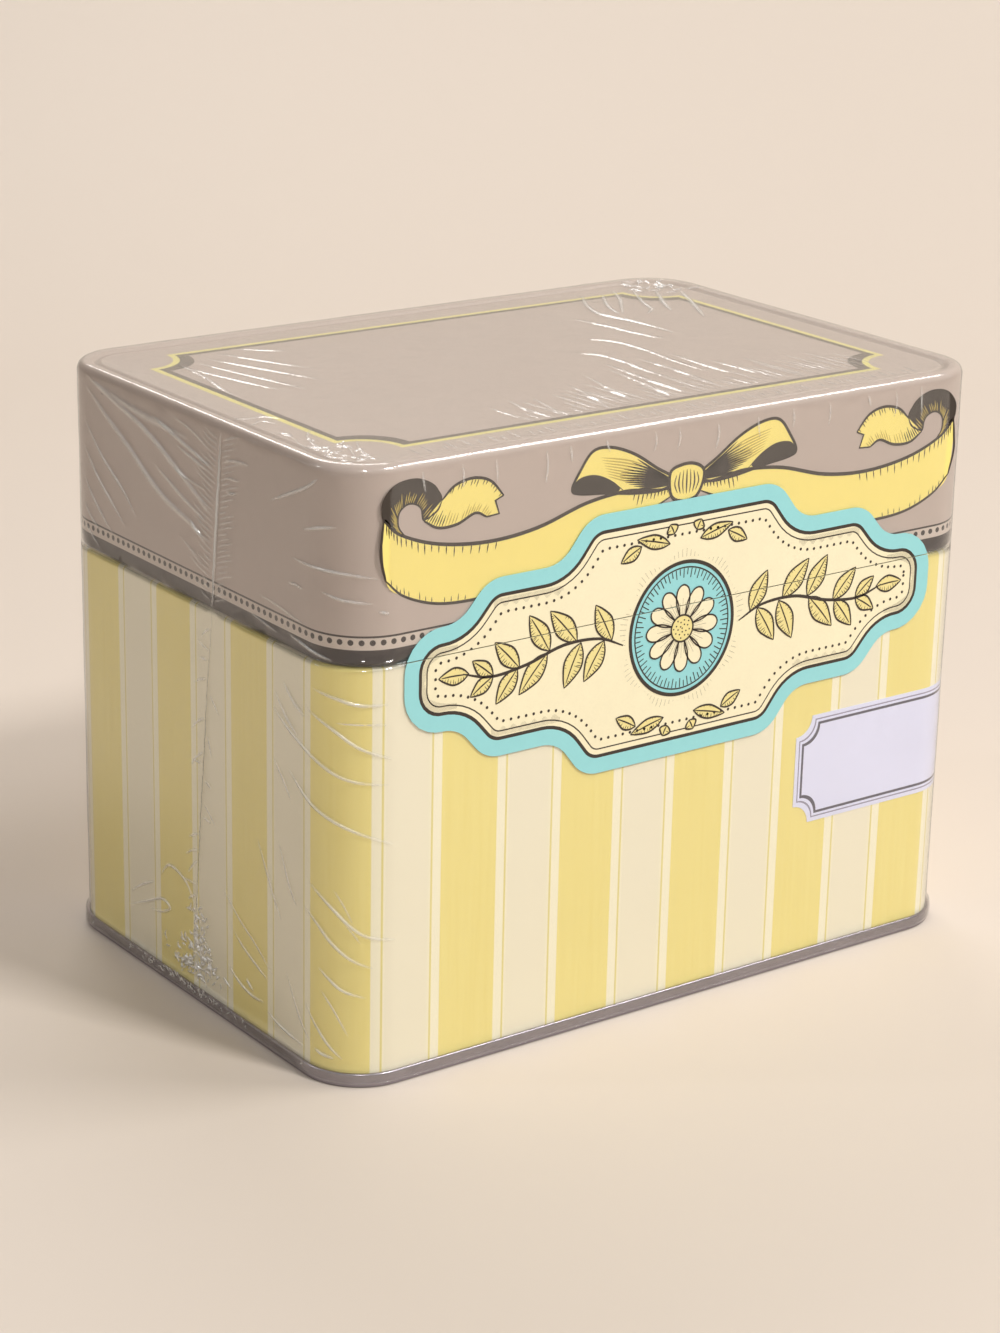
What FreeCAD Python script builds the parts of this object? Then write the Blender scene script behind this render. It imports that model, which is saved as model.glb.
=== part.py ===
import FreeCAD, Part
import math
import os

V = FreeCAD.Vector

# Tin recipe box with a hinged lid. Millimetres, +Z up, the front faces -Y.
# The origin is under the middle of the box, on the surface it stands on.

# The tin: outer faces of its walls
width = 168.0
depth = 114.0
height = 131.0
corner_radius = 13.0
tin = 0.25  # sheet thickness

# Foot: the rolled seam that joins the wall to the base
ring_height = 3.1
seam_play = 0.05  # air between the folded layers
seam_bend = 0.35
body_hook_low = 0.55
body_hook_high = 2.4
end_hook_low = 1.1
shelf_height = 3.2  # middle of the sheet, just inside the seam
shelf_width = 4.0
shelf_bend = 0.5
panel_height = 3.8  # middle of the sheet, across the base
panel_slope = 0.8
panel_margin = 8.3

# Lid: curl, wall, bead and groove
lid_depth = 40.5  # from its top down to the underside of its curl
lid_gap = 0.3  # between that curl and the shoulder it closes on
bead_bend = 1.5
bead_inner_bend = 0.75
bead_width = 2.9
groove_depth = 0.85
groove_width = 0.8
groove_slope = 0.6
top_drop = 0.35  # how far the lid's panel lies under its bead
top_margin = 7.0

# Hinge
wire_radius = 0.5
wire_play = 0.05
wire_margin = 9.0  # between its ends and the corners' bends
tab_width = 9.0
tab_place = 38.0  # each side of the middle
tab_foot = 5.0
tab_step = 0.7
tab_bend = 0.5
notch_play = 0.5
rivet_radius = 0.6
rivet_play = 0.03
rivet_head_radius = 1.2
rivet_head = 0.4
rivet_head_round = 0.28
rivet_place = 2.5  # each side of the tab's middle

# Neck of the wall, inside the lid
neck_height = 8.0  # above the lid's lower edge
neck_play = 0.55  # between the neck and the lid's curl
shoulder_bend = 0.9
neck_bend = 0.6
rim_curl = 0.575  # radius to the middle of the sheet
side_seam_width = 4.0
side_seam_thickness = 0.5
side_seam_margin = 1.5

# Paper label round the right front corner
paper = 0.1
label_gap = 0.02
label_front = 37.0  # length on the front, short of the corner's bend
label_low = 33.5
label_high = 58.5
label_end = 6.6  # length past the corner, on the right side
label_notch = 4.4

# Shrink film and its seal, cut along the lid's edge
film = 0.06
film_gap = 0.2
film_bend = 1.8
film_cut = 0.2
film_foot = 0.9  # lower edge, above the surface the box stands on
film_spread_top = 1.8  # above the ring, where the film starts to spread over it
film_spread_low = 0.45
film_spread_bend = 0.9
film_back_cut = 2.0  # trimmed this far above and below the lid's edge behind the hinge
film_back_depth = 3.0  # how far round from the back that trim reaches
seal_width = 1.0
seal_proud = 0.35
seal_top = -11.8  # place on the left side, along Y
seal_bottom = 1.5
seal_margin = 6.0

# Die-cut paper sticker across the lid's edge: a plaque with a raised middle and a lug at each end
sticker_gap = 0.04
sticker_drop = 5.0  # from the lid's edge down to its middle
sticker_margin = 1.0  # between its ends and the corners' bends
sticker_half_height = 28.0
sticker_rise = 9.0
sticker_middle = 25.0  # half width of the raised middle
sticker_lug = 13.0
sticker_lug_half_height = 11.0
sticker_slant = 7.0  # how far the slopes between these levels lean
sticker_bend = 8.0
sticker_lug_bend = 9.0

# Recipe cards and tabbed dividers
card_side_room = 7.8  # to the box's outer face, which leaves the card 152.4 wide
head_room = 12.875  # over the dividers' tabs, which leaves the card 101.6 high
card = 0.3
card_air = 0.25
card_corner = 3.0
cards_in_pack = 8
divider = 0.5
divider_air = 0.4
divider_tab_width = 34.0
divider_tab_height = 12.0
divider_tab_margin = 2.2
divider_tab_places = 4
divider_tab_corner = 3.0
divider_tab_base = 1.0
sections = 4
dividers_in_section = 2
lean = 4.0  # degrees from upright: back at rest, and as far forward
card_clearance = 0.3  # over the base
rim_clearance = 0.4
lid_clearance = 0.5  # from the tabs to the lid's edge as it swings over them

# Places that follow from the sizes above
core_x = width / 2 - corner_radius
core_y = depth / 2 - corner_radius
mid = tin / 2
curl = wire_radius + wire_play + mid  # radius to the middle of the sheet
curl_out = curl + mid
lid_line = height - lid_depth  # underside of the lid's curl
hinge_inset = curl_out
hinge_z = lid_line + curl_out
neck_inset = 2 * curl_out + neck_play
neck_top = lid_line + neck_height
shoulder_z = lid_line - lid_gap
lid_panel_z = height - top_drop - mid
base_top = panel_height + mid
film_inset = -film_gap - film / 2
sticker_z = lid_line - sticker_drop
card_width = width - 2 * card_side_room
card_height = height - top_drop - tin - base_top - divider_tab_height - head_room


def rounded_face(corners):
    """Flat face in the XZ plane. Each corner is (x, z, radius)."""
    spots = [V(x, 0, z) for x, z, _ in corners]
    bends = []
    for i, here in enumerate(spots):
        to_before = (spots[i - 1] - here).normalize()
        to_after = (spots[(i + 1) % len(spots)] - here).normalize()
        radius = corners[i][2]
        if not radius:
            bends.append((here, None, here))
            continue
        half = to_before.getAngle(to_after) / 2
        reach = radius / math.tan(half)
        start = here + to_before * reach
        stop = here + to_after * reach
        way = (to_before + to_after).normalize()
        crown = here + way * (radius / math.sin(half) - radius)
        bends.append((start, Part.Arc(start, crown, stop).toShape(), stop))
    edges = []
    for i, (start, arc, _) in enumerate(bends):
        before = bends[i - 1][2]
        if before.distanceToPoint(start) > 1e-6:
            edges.append(Part.LineSegment(before, start).toShape())
        if arc:
            edges.append(arc)
    return Part.Face(Part.Wire(Part.__sortEdges__(edges)))


def sheet(path, thickness):
    """Section of bent sheet. path is its middle line, as (inset from the tin's face, z, bend radius)."""
    spots = [V(corner_radius - inset, 0, z) for inset, z, _ in path]
    ways = [(b - a).normalize() for a, b in zip(spots, spots[1:])]
    sides = {1: [], -1: []}
    for i, spot in enumerate(spots):
        before = ways[max(i - 1, 0)]
        after = ways[min(i, len(ways) - 1)]
        normal_before = V(-before.z, 0, before.x)
        normal_after = V(-after.z, 0, after.x)
        miter = (normal_before + normal_after) / (1 + normal_before.dot(normal_after))
        turn = before.x * after.z - before.z * after.x
        for side, line in sides.items():
            place = spot + miter * (side * thickness / 2)
            radius = path[i][2]
            if radius:
                radius -= side * math.copysign(thickness / 2, turn)
            line.append((place.x, place.z, radius))
    return rounded_face(sides[1] + sides[-1][::-1])


def band(inset, thickness, low, high):
    """Section of a flat band whose inner face lies at the inset."""
    middle = inset - thickness / 2
    return sheet([(middle, low, 0), (middle, high, 0)], thickness)


def stand(face, angle, x, y):
    """A copy of the section, turned about Z and stood at a corner's centre."""
    copy = face.copy()
    copy.rotate(V(0, 0, 0), V(0, 0, 1), angle)
    copy.translate(V(x, y, 0))
    return copy


def round_corner(face, angle, x, y):
    return stand(face, angle, x, y).revolve(V(x, y, 0), V(0, 0, 1), 90)


def joined(shapes):
    """One clean solid from shapes that share faces."""
    whole = shapes[0].multiFuse(shapes[1:]).removeSplitter()
    return whole.Solids[0] if len(whole.Solids) == 1 else whole


def around(face):
    """The section carried all the way round the box's outline."""
    corners = [
        (core_x, -core_y, -90),
        (core_x, core_y, 0),
        (-core_x, core_y, 90),
        (-core_x, -core_y, 180),
    ]
    shapes = []
    for i, (x, y, angle) in enumerate(corners):
        next_x, next_y, _ = corners[(i + 1) % 4]
        shapes.append(round_corner(face, angle, x, y))
        side = stand(face, angle + 90, x, y)
        shapes.append(side.extrude(V(next_x - x, next_y - y, 0)))
    return joined(shapes)


def plate(inset, z, thickness):
    """Rounded plate centred on a height, its edge at the inset."""
    x = width / 2 - inset
    y = depth / 2 - inset
    radius = corner_radius - inset
    face = rounded_face([(x, y, radius), (-x, y, radius), (-x, -y, radius), (x, -y, radius)])
    face.rotate(V(0, 0, 0), V(1, 0, 0), -90)
    face.translate(V(0, 0, z - thickness / 2))
    return face.extrude(V(0, 0, thickness))


def curl_path(inset, z, way_in, way_up, radius):
    """Three bends of a curl that starts at the sheet's line and turns in."""
    side = 2 * radius
    return [
        (inset, z, radius),
        (inset + way_in * side, z, radius),
        (inset + way_in * side, z + way_up * side, radius),
        (inset + way_in * radius, z + way_up * side, 0),
    ]


def box(low, high):
    size = V(*high) - V(*low)
    return Part.makeBox(size.x, size.y, size.z, V(*low))


def make_body_wall():
    hook = -2 * tin - 2 * seam_play + mid
    bend = (mid - hook) / 2
    neck = neck_inset + mid
    path = [
        (hook, body_hook_high, 0),
        (hook, body_hook_low, bend),
        (mid, body_hook_low, bend),
        (mid, shoulder_z - mid, shoulder_bend),
        (neck, shoulder_z - mid, neck_bend),
    ]
    path += curl_path(neck, neck_top - mid, 1, -1, rim_curl)
    wall = around(sheet(path, tin))
    inner = depth / 2 - tin
    seam = box(
        (-side_seam_width / 2, inner - side_seam_thickness, base_top + side_seam_margin),
        (side_seam_width / 2, inner, shoulder_z - tin - side_seam_margin),
    )
    wall = joined([wall, seam])
    return wall.cut(rivet_holes()).Solids[0]


def make_base_end():
    chuck = tin + seam_play + mid
    hook = -seam_play - mid
    outer = -3 * (tin + seam_play) + mid
    end_bend = (hook - outer) / 2
    path = [
        (panel_margin, panel_height, 0),
        (shelf_width + panel_slope, panel_height, shelf_bend),
        (shelf_width, shelf_height, shelf_bend),
        (chuck, shelf_height, shelf_bend),
        (chuck, mid, seam_bend),
        (outer, mid, seam_bend),
        (outer, ring_height - mid, end_bend),
        (hook, ring_height - mid, end_bend),
        (hook, end_hook_low, 0),
    ]
    rim = around(sheet(path, tin))
    return joined([rim, plate(panel_margin, panel_height, tin)])


def make_lid():
    groove_z = height - groove_depth - mid
    path = curl_path(mid, lid_line + mid, 1, 1, curl)[::-1]
    path += [
        (mid, height - mid, bead_bend),
        (bead_width, height - mid, bead_inner_bend),
        (bead_width + groove_slope, groove_z, groove_slope),
        (bead_width + groove_slope + groove_width, groove_z, groove_slope),
        (bead_width + 2 * groove_slope + groove_width, lid_panel_z, groove_slope),
        (top_margin, lid_panel_z, 0),
    ]
    shell = joined([around(sheet(path, tin)), plate(top_margin, lid_panel_z, tin)])
    half = tab_width / 2 + notch_play
    for x in (-tab_place, tab_place):
        low = (x - half, depth / 2 - 2 * curl_out - notch_play, lid_line - notch_play)
        high = (x + half, depth / 2 + notch_play, lid_line + 2 * curl_out + notch_play)
        shell = shell.cut(box(low, high))
    return shell.Solids[0]


def along_back(face, x, length):
    """The section carried along the back of the box, centred on x."""
    return stand(face, 90, x - length / 2, core_y).extrude(V(length, 0, 0))


def tab_foot_top():
    return lid_line + 2 * curl_out + tab_step + tab_foot


def make_hinge_tab(x):
    foot_inset = neck_inset - mid
    roll_inset = hinge_inset + curl
    knee = lid_line + 2 * curl_out + tab_step
    path = [
        (foot_inset, tab_foot_top(), 0),
        (foot_inset, knee, tab_bend),
        (roll_inset, knee - tab_step, tab_bend),
    ]
    path += curl_path(roll_inset, lid_line + mid, -1, 1, curl)
    return along_back(sheet(path, tin), x, tab_width).cut(rivet_holes())


def rivet_spots():
    z = tab_foot_top() - tab_foot / 2
    return [(side * tab_place + off, z) for side in (-1, 1) for off in (-rivet_place, rivet_place)]


def rivet_shape(x, z, radius, start, stop):
    """Round along Y, from one inset at the back to another."""
    y = depth / 2 - stop
    return Part.makeCylinder(radius, stop - start, V(x, y, z), V(0, 1, 0))


def rivet_holes():
    radius = rivet_radius + rivet_play
    holes = [rivet_shape(x, z, radius, 0, neck_inset + 2 * tin) for x, z in rivet_spots()]
    return Part.makeCompound(holes)


def make_rivets():
    outside = neck_inset - tin
    inside = neck_inset + tin
    rivets = []
    for x, z in rivet_spots():
        shank = rivet_shape(x, z, rivet_radius, outside - rivet_head / 2, inside + rivet_head / 2)
        head = rivet_shape(x, z, rivet_head_radius, outside - rivet_head, outside)
        tail = rivet_shape(x, z, rivet_head_radius, inside, inside + rivet_head)
        rivet = joined([shank, head, tail])
        ends = [e for e in rivet.Edges if abs(e.Length - 2 * math.pi * rivet_head_radius) < 1e-3]
        tops = [e for e in ends if abs(e.CenterOfMass.y - rivet.BoundBox.YMax) < 1e-3]
        tops += [e for e in ends if abs(e.CenterOfMass.y - rivet.BoundBox.YMin) < 1e-3]
        rivets.append(rivet.makeFillet(rivet_head_round, tops))
    return Part.makeCompound(rivets)


def make_wire():
    half = core_x - wire_margin
    start = V(-half, depth / 2 - hinge_inset, hinge_z)
    return Part.makeCylinder(wire_radius, 2 * half, start, V(1, 0, 0))


def make_label():
    face = band(-label_gap, paper, label_low, label_high)
    left = core_x - label_front
    end_y = -core_y + label_end
    front = stand(face, -90, left, -core_y).extrude(V(label_front, 0, 0))
    side = stand(face, 0, core_x, -core_y).extrude(V(0, label_end, 0))
    label = joined([front, round_corner(face, -90, core_x, -core_y), side])
    for z in (label_low, label_high):
        label = label.cut(Part.makeCylinder(label_notch, depth, V(left, -depth, z), V(0, 1, 0)))
        label = label.cut(Part.makeCylinder(label_notch, width, V(0, end_y, z), V(1, 0, 0)))
    return label.Solids[0]


def seal_strip(low, high):
    """The melted seam of the film, leaning down the left side between two heights."""
    span = high - low
    rise = height - seal_margin

    def place(z):
        return seal_bottom + (seal_top - seal_bottom) * z / rise

    face_x = -width / 2 - film_gap
    corners = []
    for z, side in ((low, -1), (low, 1), (low + span, 1), (low + span, -1)):
        corners.append(V(face_x, place(z) + side * seal_width / 2, z))
    outline = Part.Face(Part.makePolygon(corners + corners[:1]))
    return outline.extrude(V(-film - seal_proud, 0, 0))


def hinge_trim():
    """Where the film is left out, so that the lid's back edge turns clear of it."""
    low = (-width, depth / 2 - film_back_depth, lid_line - film_back_cut)
    high = (width, depth, lid_line + film_back_cut)
    return box(low, high)


def make_film_lower():
    high = lid_line - film_cut / 2
    over_ring = -3 * (tin + seam_play) - film_gap - film / 2
    path = [
        (film_inset, high, 0),
        (film_inset, ring_height + film_spread_top, film_spread_bend),
        (over_ring, ring_height + film_spread_low, film_spread_bend),
        (over_ring, film_foot, 0),
    ]
    skin = joined([around(sheet(path, film)), seal_strip(seal_margin, high)])
    return skin.cut(hinge_trim()).Solids[0]


def make_film_upper():
    low = lid_line + film_cut / 2
    top = height - film_inset
    path = [(film_inset, low, 0), (film_inset, top, film_bend), (top_margin, top, 0)]
    skin = joined([around(sheet(path, film)), plate(top_margin, top, film)])
    skin = joined([skin, seal_strip(low, height - seal_margin)])
    return skin.cut(hinge_trim()).Solids[0]


def sticker_outline():
    """Edge of the sticker in the XZ plane, in soft waves that are alike in each quarter."""
    end = core_x - sticker_margin
    shoulder = end - sticker_lug
    top = sticker_half_height
    quarter = [
        (end, sticker_lug_half_height, sticker_lug_bend),
        (shoulder, sticker_lug_half_height, sticker_bend),
        (shoulder - sticker_slant, top - sticker_rise, sticker_bend),
        (sticker_middle + sticker_slant, top - sticker_rise, sticker_bend),
        (sticker_middle, top, sticker_bend),
    ]
    upper = quarter + [(-x, z, radius) for x, z, radius in reversed(quarter)]
    lower = [(-x, -z, radius) for x, z, radius in upper]
    return rounded_face([(x, sticker_z + z, radius) for x, z, radius in upper + lower])


def make_sticker(low, high):
    back = -depth / 2 - film_gap - film - sticker_gap
    whole = sticker_outline().extrude(V(0, paper, 0))
    whole.translate(V(0, back - paper, 0))
    return whole.common(box((-width, -depth, low), (width, 0, high))).Solids[0]


def card_shape(corners, thickness, back):
    """An upright card, its long edge on the XY plane and its back face at y = back."""
    shape = rounded_face(corners).extrude(V(0, thickness, 0))
    shape.translate(V(0, back - thickness, 0))
    return shape


def plain_card(back):
    half = card_width / 2
    corners = [
        (-half, 0, 0),
        (half, 0, 0),
        (half, card_height, card_corner),
        (-half, card_height, card_corner),
    ]
    return card_shape(corners, card, back)


def tabbed_divider(place, back):
    half = card_width / 2
    left = place - divider_tab_width / 2
    right = place + divider_tab_width / 2
    top = card_height + divider_tab_height
    corners = [
        (-half, 0, 0),
        (half, 0, 0),
        (half, card_height, divider_tab_base),
        (right, card_height, divider_tab_base),
        (right, top, divider_tab_corner),
        (left, top, divider_tab_corner),
        (left, card_height, divider_tab_base),
        (-half, card_height, divider_tab_base),
    ]
    return card_shape(corners, divider, back)


def tab_place_on_card(number):
    """Middle of a divider's tab: the places step across the card and start again."""
    reach = (card_width - divider_tab_width) / 2 - divider_tab_margin
    return reach * (2 * (number % divider_tab_places) / (divider_tab_places - 1) - 1)


pack_thickness = cards_in_pack * card + (cards_in_pack - 1) * card_air
set_thickness = divider + pack_thickness + 2 * divider_air
section_thickness = dividers_in_section * set_thickness - divider_air
lean_angle = math.radians(lean)
half_section = section_thickness / 2 / math.cos(lean_angle)
foot_z = base_top + card_clearance + section_thickness / 2 * math.sin(lean_angle)

# The rear section leans back until the cards' ends meet the neck's rim, in its rounded corners
rim_radius = corner_radius - neck_inset - 2 * (rim_curl + mid)
overhang = max(card_width / 2 - core_x, 0)
mouth = core_y + math.sqrt(rim_radius ** 2 - overhang ** 2) - rim_clearance
rear_y = mouth - (neck_top - foot_z) * math.tan(lean_angle) - half_section

# The front section leans forward as far as the rim, or as the path of the lid's edge over its tabs
tab_top = card_height + divider_tab_height
tab_top_z = foot_z + tab_top * math.cos(lean_angle)
swing_radius = depth - hinge_inset - 2 * curl_out - lid_clearance
swing_y = depth / 2 - hinge_inset - math.sqrt(swing_radius ** 2 - (tab_top_z - hinge_z) ** 2)
front_y = max(-rear_y, swing_y + tab_top * math.sin(lean_angle) + half_section)
section_pitch = (rear_y - front_y) / (sections - 1)


def leaning(shape, section):
    """The upright shape moved to its section, which leans back."""
    shape.rotate(V(0, 0, 0), V(1, 0, 0), -lean)
    shape.translate(V(0, rear_y - section * section_pitch, foot_z))
    return shape


parts = {
    "body_wall": make_body_wall(),
    "base_end": make_base_end(),
    "lid_shell": make_lid(),
    "hinge_tab_left": make_hinge_tab(-tab_place),
    "hinge_tab_right": make_hinge_tab(tab_place),
    "hinge_rivets": make_rivets(),
    "hinge_wire": make_wire(),
    "corner_label": make_label(),
    "film_lower": make_film_lower(),
    "film_upper": make_film_upper(),
    "sticker_lower": make_sticker(0, lid_line - film_cut / 2),
    "sticker_upper": make_sticker(lid_line + film_cut / 2, height),
}

number = 0
for section in range(sections):
    back = section_thickness / 2
    for _ in range(dividers_in_section):
        place = tab_place_on_card(number)
        number += 1
        cards_back = back
        cards = []
        for i in range(cards_in_pack):
            cards.append(leaning(plain_card(cards_back - i * (card + card_air)), section))
        parts[f"recipe_cards_{number}"] = Part.makeCompound(cards)
        divider_back = cards_back - pack_thickness - divider_air
        parts[f"divider_{number}"] = leaning(tabbed_divider(place, divider_back), section)
        back = divider_back - divider - divider_air

os.makedirs("parts", exist_ok=True)
for name, shape in parts.items():
    shape.exportStep(f"parts/{name}.step")

pivots = [round(rear_y - i * section_pitch, 3) for i in range(sections)]
print("hinge axis: y", round(depth / 2 - hinge_inset, 4), "z", round(hinge_z, 4))
print("section pivots: y", pivots, "z", round(foot_z, 4))
print("section thickness", section_thickness, "pitch", round(section_pitch, 3))
print("card", round(card_width, 3), "by", round(card_height, 3))
for name, shape in parts.items():
    print(name, len(shape.Solids), "solids, valid", shape.isValid(), "volume", round(shape.Volume, 1))
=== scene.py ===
import math
import random

import bmesh
import bpy
from mathutils import Matrix, Vector, kdtree, noise
from mathutils.geometry import interpolate_bezier


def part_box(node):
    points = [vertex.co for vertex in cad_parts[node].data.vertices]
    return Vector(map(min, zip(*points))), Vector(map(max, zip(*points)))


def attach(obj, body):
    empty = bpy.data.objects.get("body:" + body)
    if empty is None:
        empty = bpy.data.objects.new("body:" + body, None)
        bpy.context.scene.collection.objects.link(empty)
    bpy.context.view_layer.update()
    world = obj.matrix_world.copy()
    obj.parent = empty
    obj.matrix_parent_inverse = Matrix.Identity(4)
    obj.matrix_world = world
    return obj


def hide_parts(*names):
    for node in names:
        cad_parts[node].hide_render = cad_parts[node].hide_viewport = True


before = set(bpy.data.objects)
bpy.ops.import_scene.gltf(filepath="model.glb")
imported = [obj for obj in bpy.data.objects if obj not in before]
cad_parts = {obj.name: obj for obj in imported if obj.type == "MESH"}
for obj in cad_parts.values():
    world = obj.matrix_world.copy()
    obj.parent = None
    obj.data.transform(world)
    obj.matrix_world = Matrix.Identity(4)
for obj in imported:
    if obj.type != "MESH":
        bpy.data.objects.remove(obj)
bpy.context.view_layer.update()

bpy.ops.object.select_all(action="DESELECT")
mm = 0.001
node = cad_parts

# Base end
# A pressed panel of bare tinplate whose edge is rolled five layers deep with the wall's,
# the steel ring round the foot. Rolling leaves fine lines along it and dulls the tin a little.


def colour(red, green, blue):
    """Linear colour of an 8 bit print colour."""
    return tuple(((c / 255 + 0.055) / 1.055) ** 2.4 for c in (red, green, blue))


def finish(name, base, roughness, metallic=0.0):
    material = bpy.data.materials.new(name)
    material.use_nodes = True
    shader = material.node_tree.nodes["Principled BSDF"]
    shader.inputs["Base Color"].default_value = (*base, 1)
    shader.inputs["Roughness"].default_value = roughness
    shader.inputs["Metallic"].default_value = metallic
    return material, material.node_tree, shader


def join(tree, source, target):
    """Links a socket, or sets a plain number or colour."""
    if isinstance(source, bpy.types.NodeSocket):
        tree.links.new(source, target)
    else:
        target.default_value = source


def calc(tree, operation, *values):
    step = tree.nodes.new("ShaderNodeMath")
    step.operation = operation
    for value, socket in zip(values, step.inputs):
        join(tree, value, socket)
    return step.outputs[0]


def blend_colours(tree, factor, first, second):
    step = tree.nodes.new("ShaderNodeMix")
    step.data_type = "RGBA"
    join(tree, factor, step.inputs["Factor"])
    for tint, socket in ((first, step.inputs["A"]), (second, step.inputs["B"])):
        join(tree, tint if isinstance(tint, bpy.types.NodeSocket) else (*tint, 1), socket)
    return step.outputs["Result"]


def new_group(name, inputs, outputs):
    group = bpy.data.node_groups.new(name, "ShaderNodeTree")
    for label, kind, value in inputs:
        socket = group.interface.new_socket(label, in_out="INPUT", socket_type=kind)
        if value is not None:
            socket.default_value = value
    for label, kind in outputs:
        group.interface.new_socket(label, in_out="OUTPUT", socket_type=kind)
    return group, group.nodes.new("NodeGroupInput").outputs, group.nodes.new("NodeGroupOutput").inputs


def use_group(tree, group, **values):
    placed = tree.nodes.new("ShaderNodeGroup")
    placed.node_tree = group
    for key, value in values.items():
        join(tree, value, placed.inputs[key.replace("_", " ")])
    return placed.outputs


grain_group, grain_in, grain_out = new_group(
    "grain",
    [("Vector", "NodeSocketVector", None), ("Scale", "NodeSocketFloat", 1000.0),
     ("Amount", "NodeSocketFloat", 0.05)],
    [("Shade", "NodeSocketFloat"), ("Height", "NodeSocketFloat")])
speck = grain_group.nodes.new("ShaderNodeTexNoise")
speck.inputs["Detail"].default_value = 4
speck.inputs["Roughness"].default_value = 0.6
join(grain_group, grain_in["Vector"], speck.inputs["Vector"])
join(grain_group, grain_in["Scale"], speck.inputs["Scale"])
spread = calc(grain_group, "SUBTRACT", speck.outputs["Fac"], 0.5)
join(grain_group, calc(grain_group, "MULTIPLY_ADD", spread, grain_in["Amount"], 1.0), grain_out["Shade"])
join(grain_group, speck.outputs["Fac"], grain_out["Height"])


def grain(tree, scale, amount, stretch=(1, 1, 1), source="Object"):
    """Grain on Object coordinates or the piece's own UV, stretched so that its marks run one way."""
    place = tree.nodes.new("ShaderNodeTexCoord")
    turn = tree.nodes.new("ShaderNodeMapping")
    turn.inputs["Scale"].default_value = stretch
    join(tree, place.outputs[source], turn.inputs["Vector"])
    return use_group(tree, grain_group, Vector=turn.outputs["Vector"], Scale=scale, Amount=amount)


def raised(tree, shader, height, distance):
    bump = tree.nodes.new("ShaderNodeBump")
    bump.inputs["Strength"].default_value = 1.0
    bump.inputs["Distance"].default_value = distance
    join(tree, height, bump.inputs["Height"])
    join(tree, bump.outputs["Normal"], shader.inputs["Normal"])


def tinplate(name, tint, roughness, streak):
    """Bare tinned steel: rolling lines in its gloss and a faint bloom in its colour."""
    material, tree, shader = finish(name, tint, roughness, metallic=1.0)
    lines = grain(tree, 60.0, 0.3, streak)
    bloom = grain(tree, 45.0, 0.25)
    shade = calc(tree, "MULTIPLY", lines["Shade"], bloom["Shade"])
    join(tree, calc(tree, "MULTIPLY", shade, roughness), shader.inputs["Roughness"])
    dull = tuple(channel * 0.72 for channel in tint)
    join(tree, blend_colours(tree, bloom["Height"], dull, tint), shader.inputs["Base Color"])
    raised(tree, shader, lines["Height"], 0.000004)
    return material


def refinish(piece, material):
    """Gives a CAD piece its finish in place of its plain one."""
    piece.data.materials.clear()
    piece.data.materials.append(material)


steel = tinplate("tinplate_rolled", colour(156, 150, 158), 0.25, (1, 1, 60))
refinish(node["base_end"], steel)

# Body wall
# One strip of tinplate, printed flat in yellow and cream stripes, bent round and welded
# at the back, then stepped in at the top to a bare neck with a curled rim for the lid.
lid_low, lid_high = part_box("lid_shell")
half_width = lid_high.x
half_depth = lid_high.y
corner_radius = 13 * mm
sheet = 0.25 * mm
core_x = half_width - corner_radius
core_y = half_depth - corner_radius
quarter = corner_radius * math.pi / 2
girth = 4 * (core_x + core_y + quarter)

shoulder_top = lid_low.z - 0.3 * mm
wall_foot = 0.6 * mm
shoulder_bend = 1.025 * mm
neck_inset = 2.15 * mm
neck_bend = 0.475 * mm
rim_radius = 0.7 * mm
rim_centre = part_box("body_wall")[1].z - rim_radius


def arc(centre_inset, centre_z, radius, start, stop, count):
    """Points (inset, z) on an arc; 0 degrees points inwards and 90 up."""
    spots = []
    for i in range(count + 1):
        angle = math.radians(start + (stop - start) * i / count)
        spots.append((centre_inset + radius * math.cos(angle), centre_z + radius * math.sin(angle)))
    return spots


def only(piece):
    bpy.ops.object.select_all(action="DESELECT")
    bpy.context.view_layer.objects.active = piece
    piece.select_set(True)


def edit(piece, kind="FACE"):
    only(piece)
    bpy.ops.object.mode_set(mode="EDIT")
    bpy.ops.mesh.select_mode(type=kind)


def leave():
    bpy.ops.object.mode_set(mode="OBJECT")


def pick(piece, kind, wanted):
    """Selects only the vertices, edges or faces that pass the test, in edit mode."""
    form = bmesh.from_edit_mesh(piece.data)
    form.normal_update()
    for part in (*form.verts, *form.edges, *form.faces):
        part.select = False
    for part in getattr(form, kind):
        if wanted(part):
            part.select_set(True)
    bmesh.update_edit_mesh(piece.data)


def roll_round(name, profile):
    """A sheet wall: the profile of (inset, z) drawn out along the sides and spun round the corners."""
    bpy.ops.mesh.primitive_plane_add(size=mm)
    wall = bpy.context.object
    wall.name = name
    edit(wall, "VERT")
    bpy.ops.mesh.merge(type="CENTER")
    inset, z = profile[0]
    bpy.ops.transform.translate(value=(-core_x, inset - half_depth, z))
    for (inset_a, z_a), (inset_b, z_b) in zip(profile, profile[1:]):
        step = {"value": (0, inset_b - inset_a, z_b - z_a)}
        bpy.ops.mesh.extrude_region_move(TRANSFORM_OT_translate=step)
    bpy.ops.mesh.select_all(action="SELECT")
    for way, centre in (((2 * core_x, 0, 0), (core_x, -core_y, 0)), ((0, 2 * core_y, 0), (core_x, core_y, 0)),
                        ((-2 * core_x, 0, 0), (-core_x, core_y, 0)),
                        ((0, -2 * core_y, 0), (-core_x, -core_y, 0))):
        bpy.ops.mesh.extrude_region_move(TRANSFORM_OT_translate={"value": way})
        bpy.ops.mesh.spin(steps=18, angle=-math.pi / 2, center=centre, axis=(0, 0, 1))
    bpy.ops.mesh.select_all(action="SELECT")
    bpy.ops.mesh.remove_doubles(threshold=0.001 * mm)
    bpy.ops.mesh.normals_make_consistent(inside=False)
    leave()
    return wall


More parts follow.
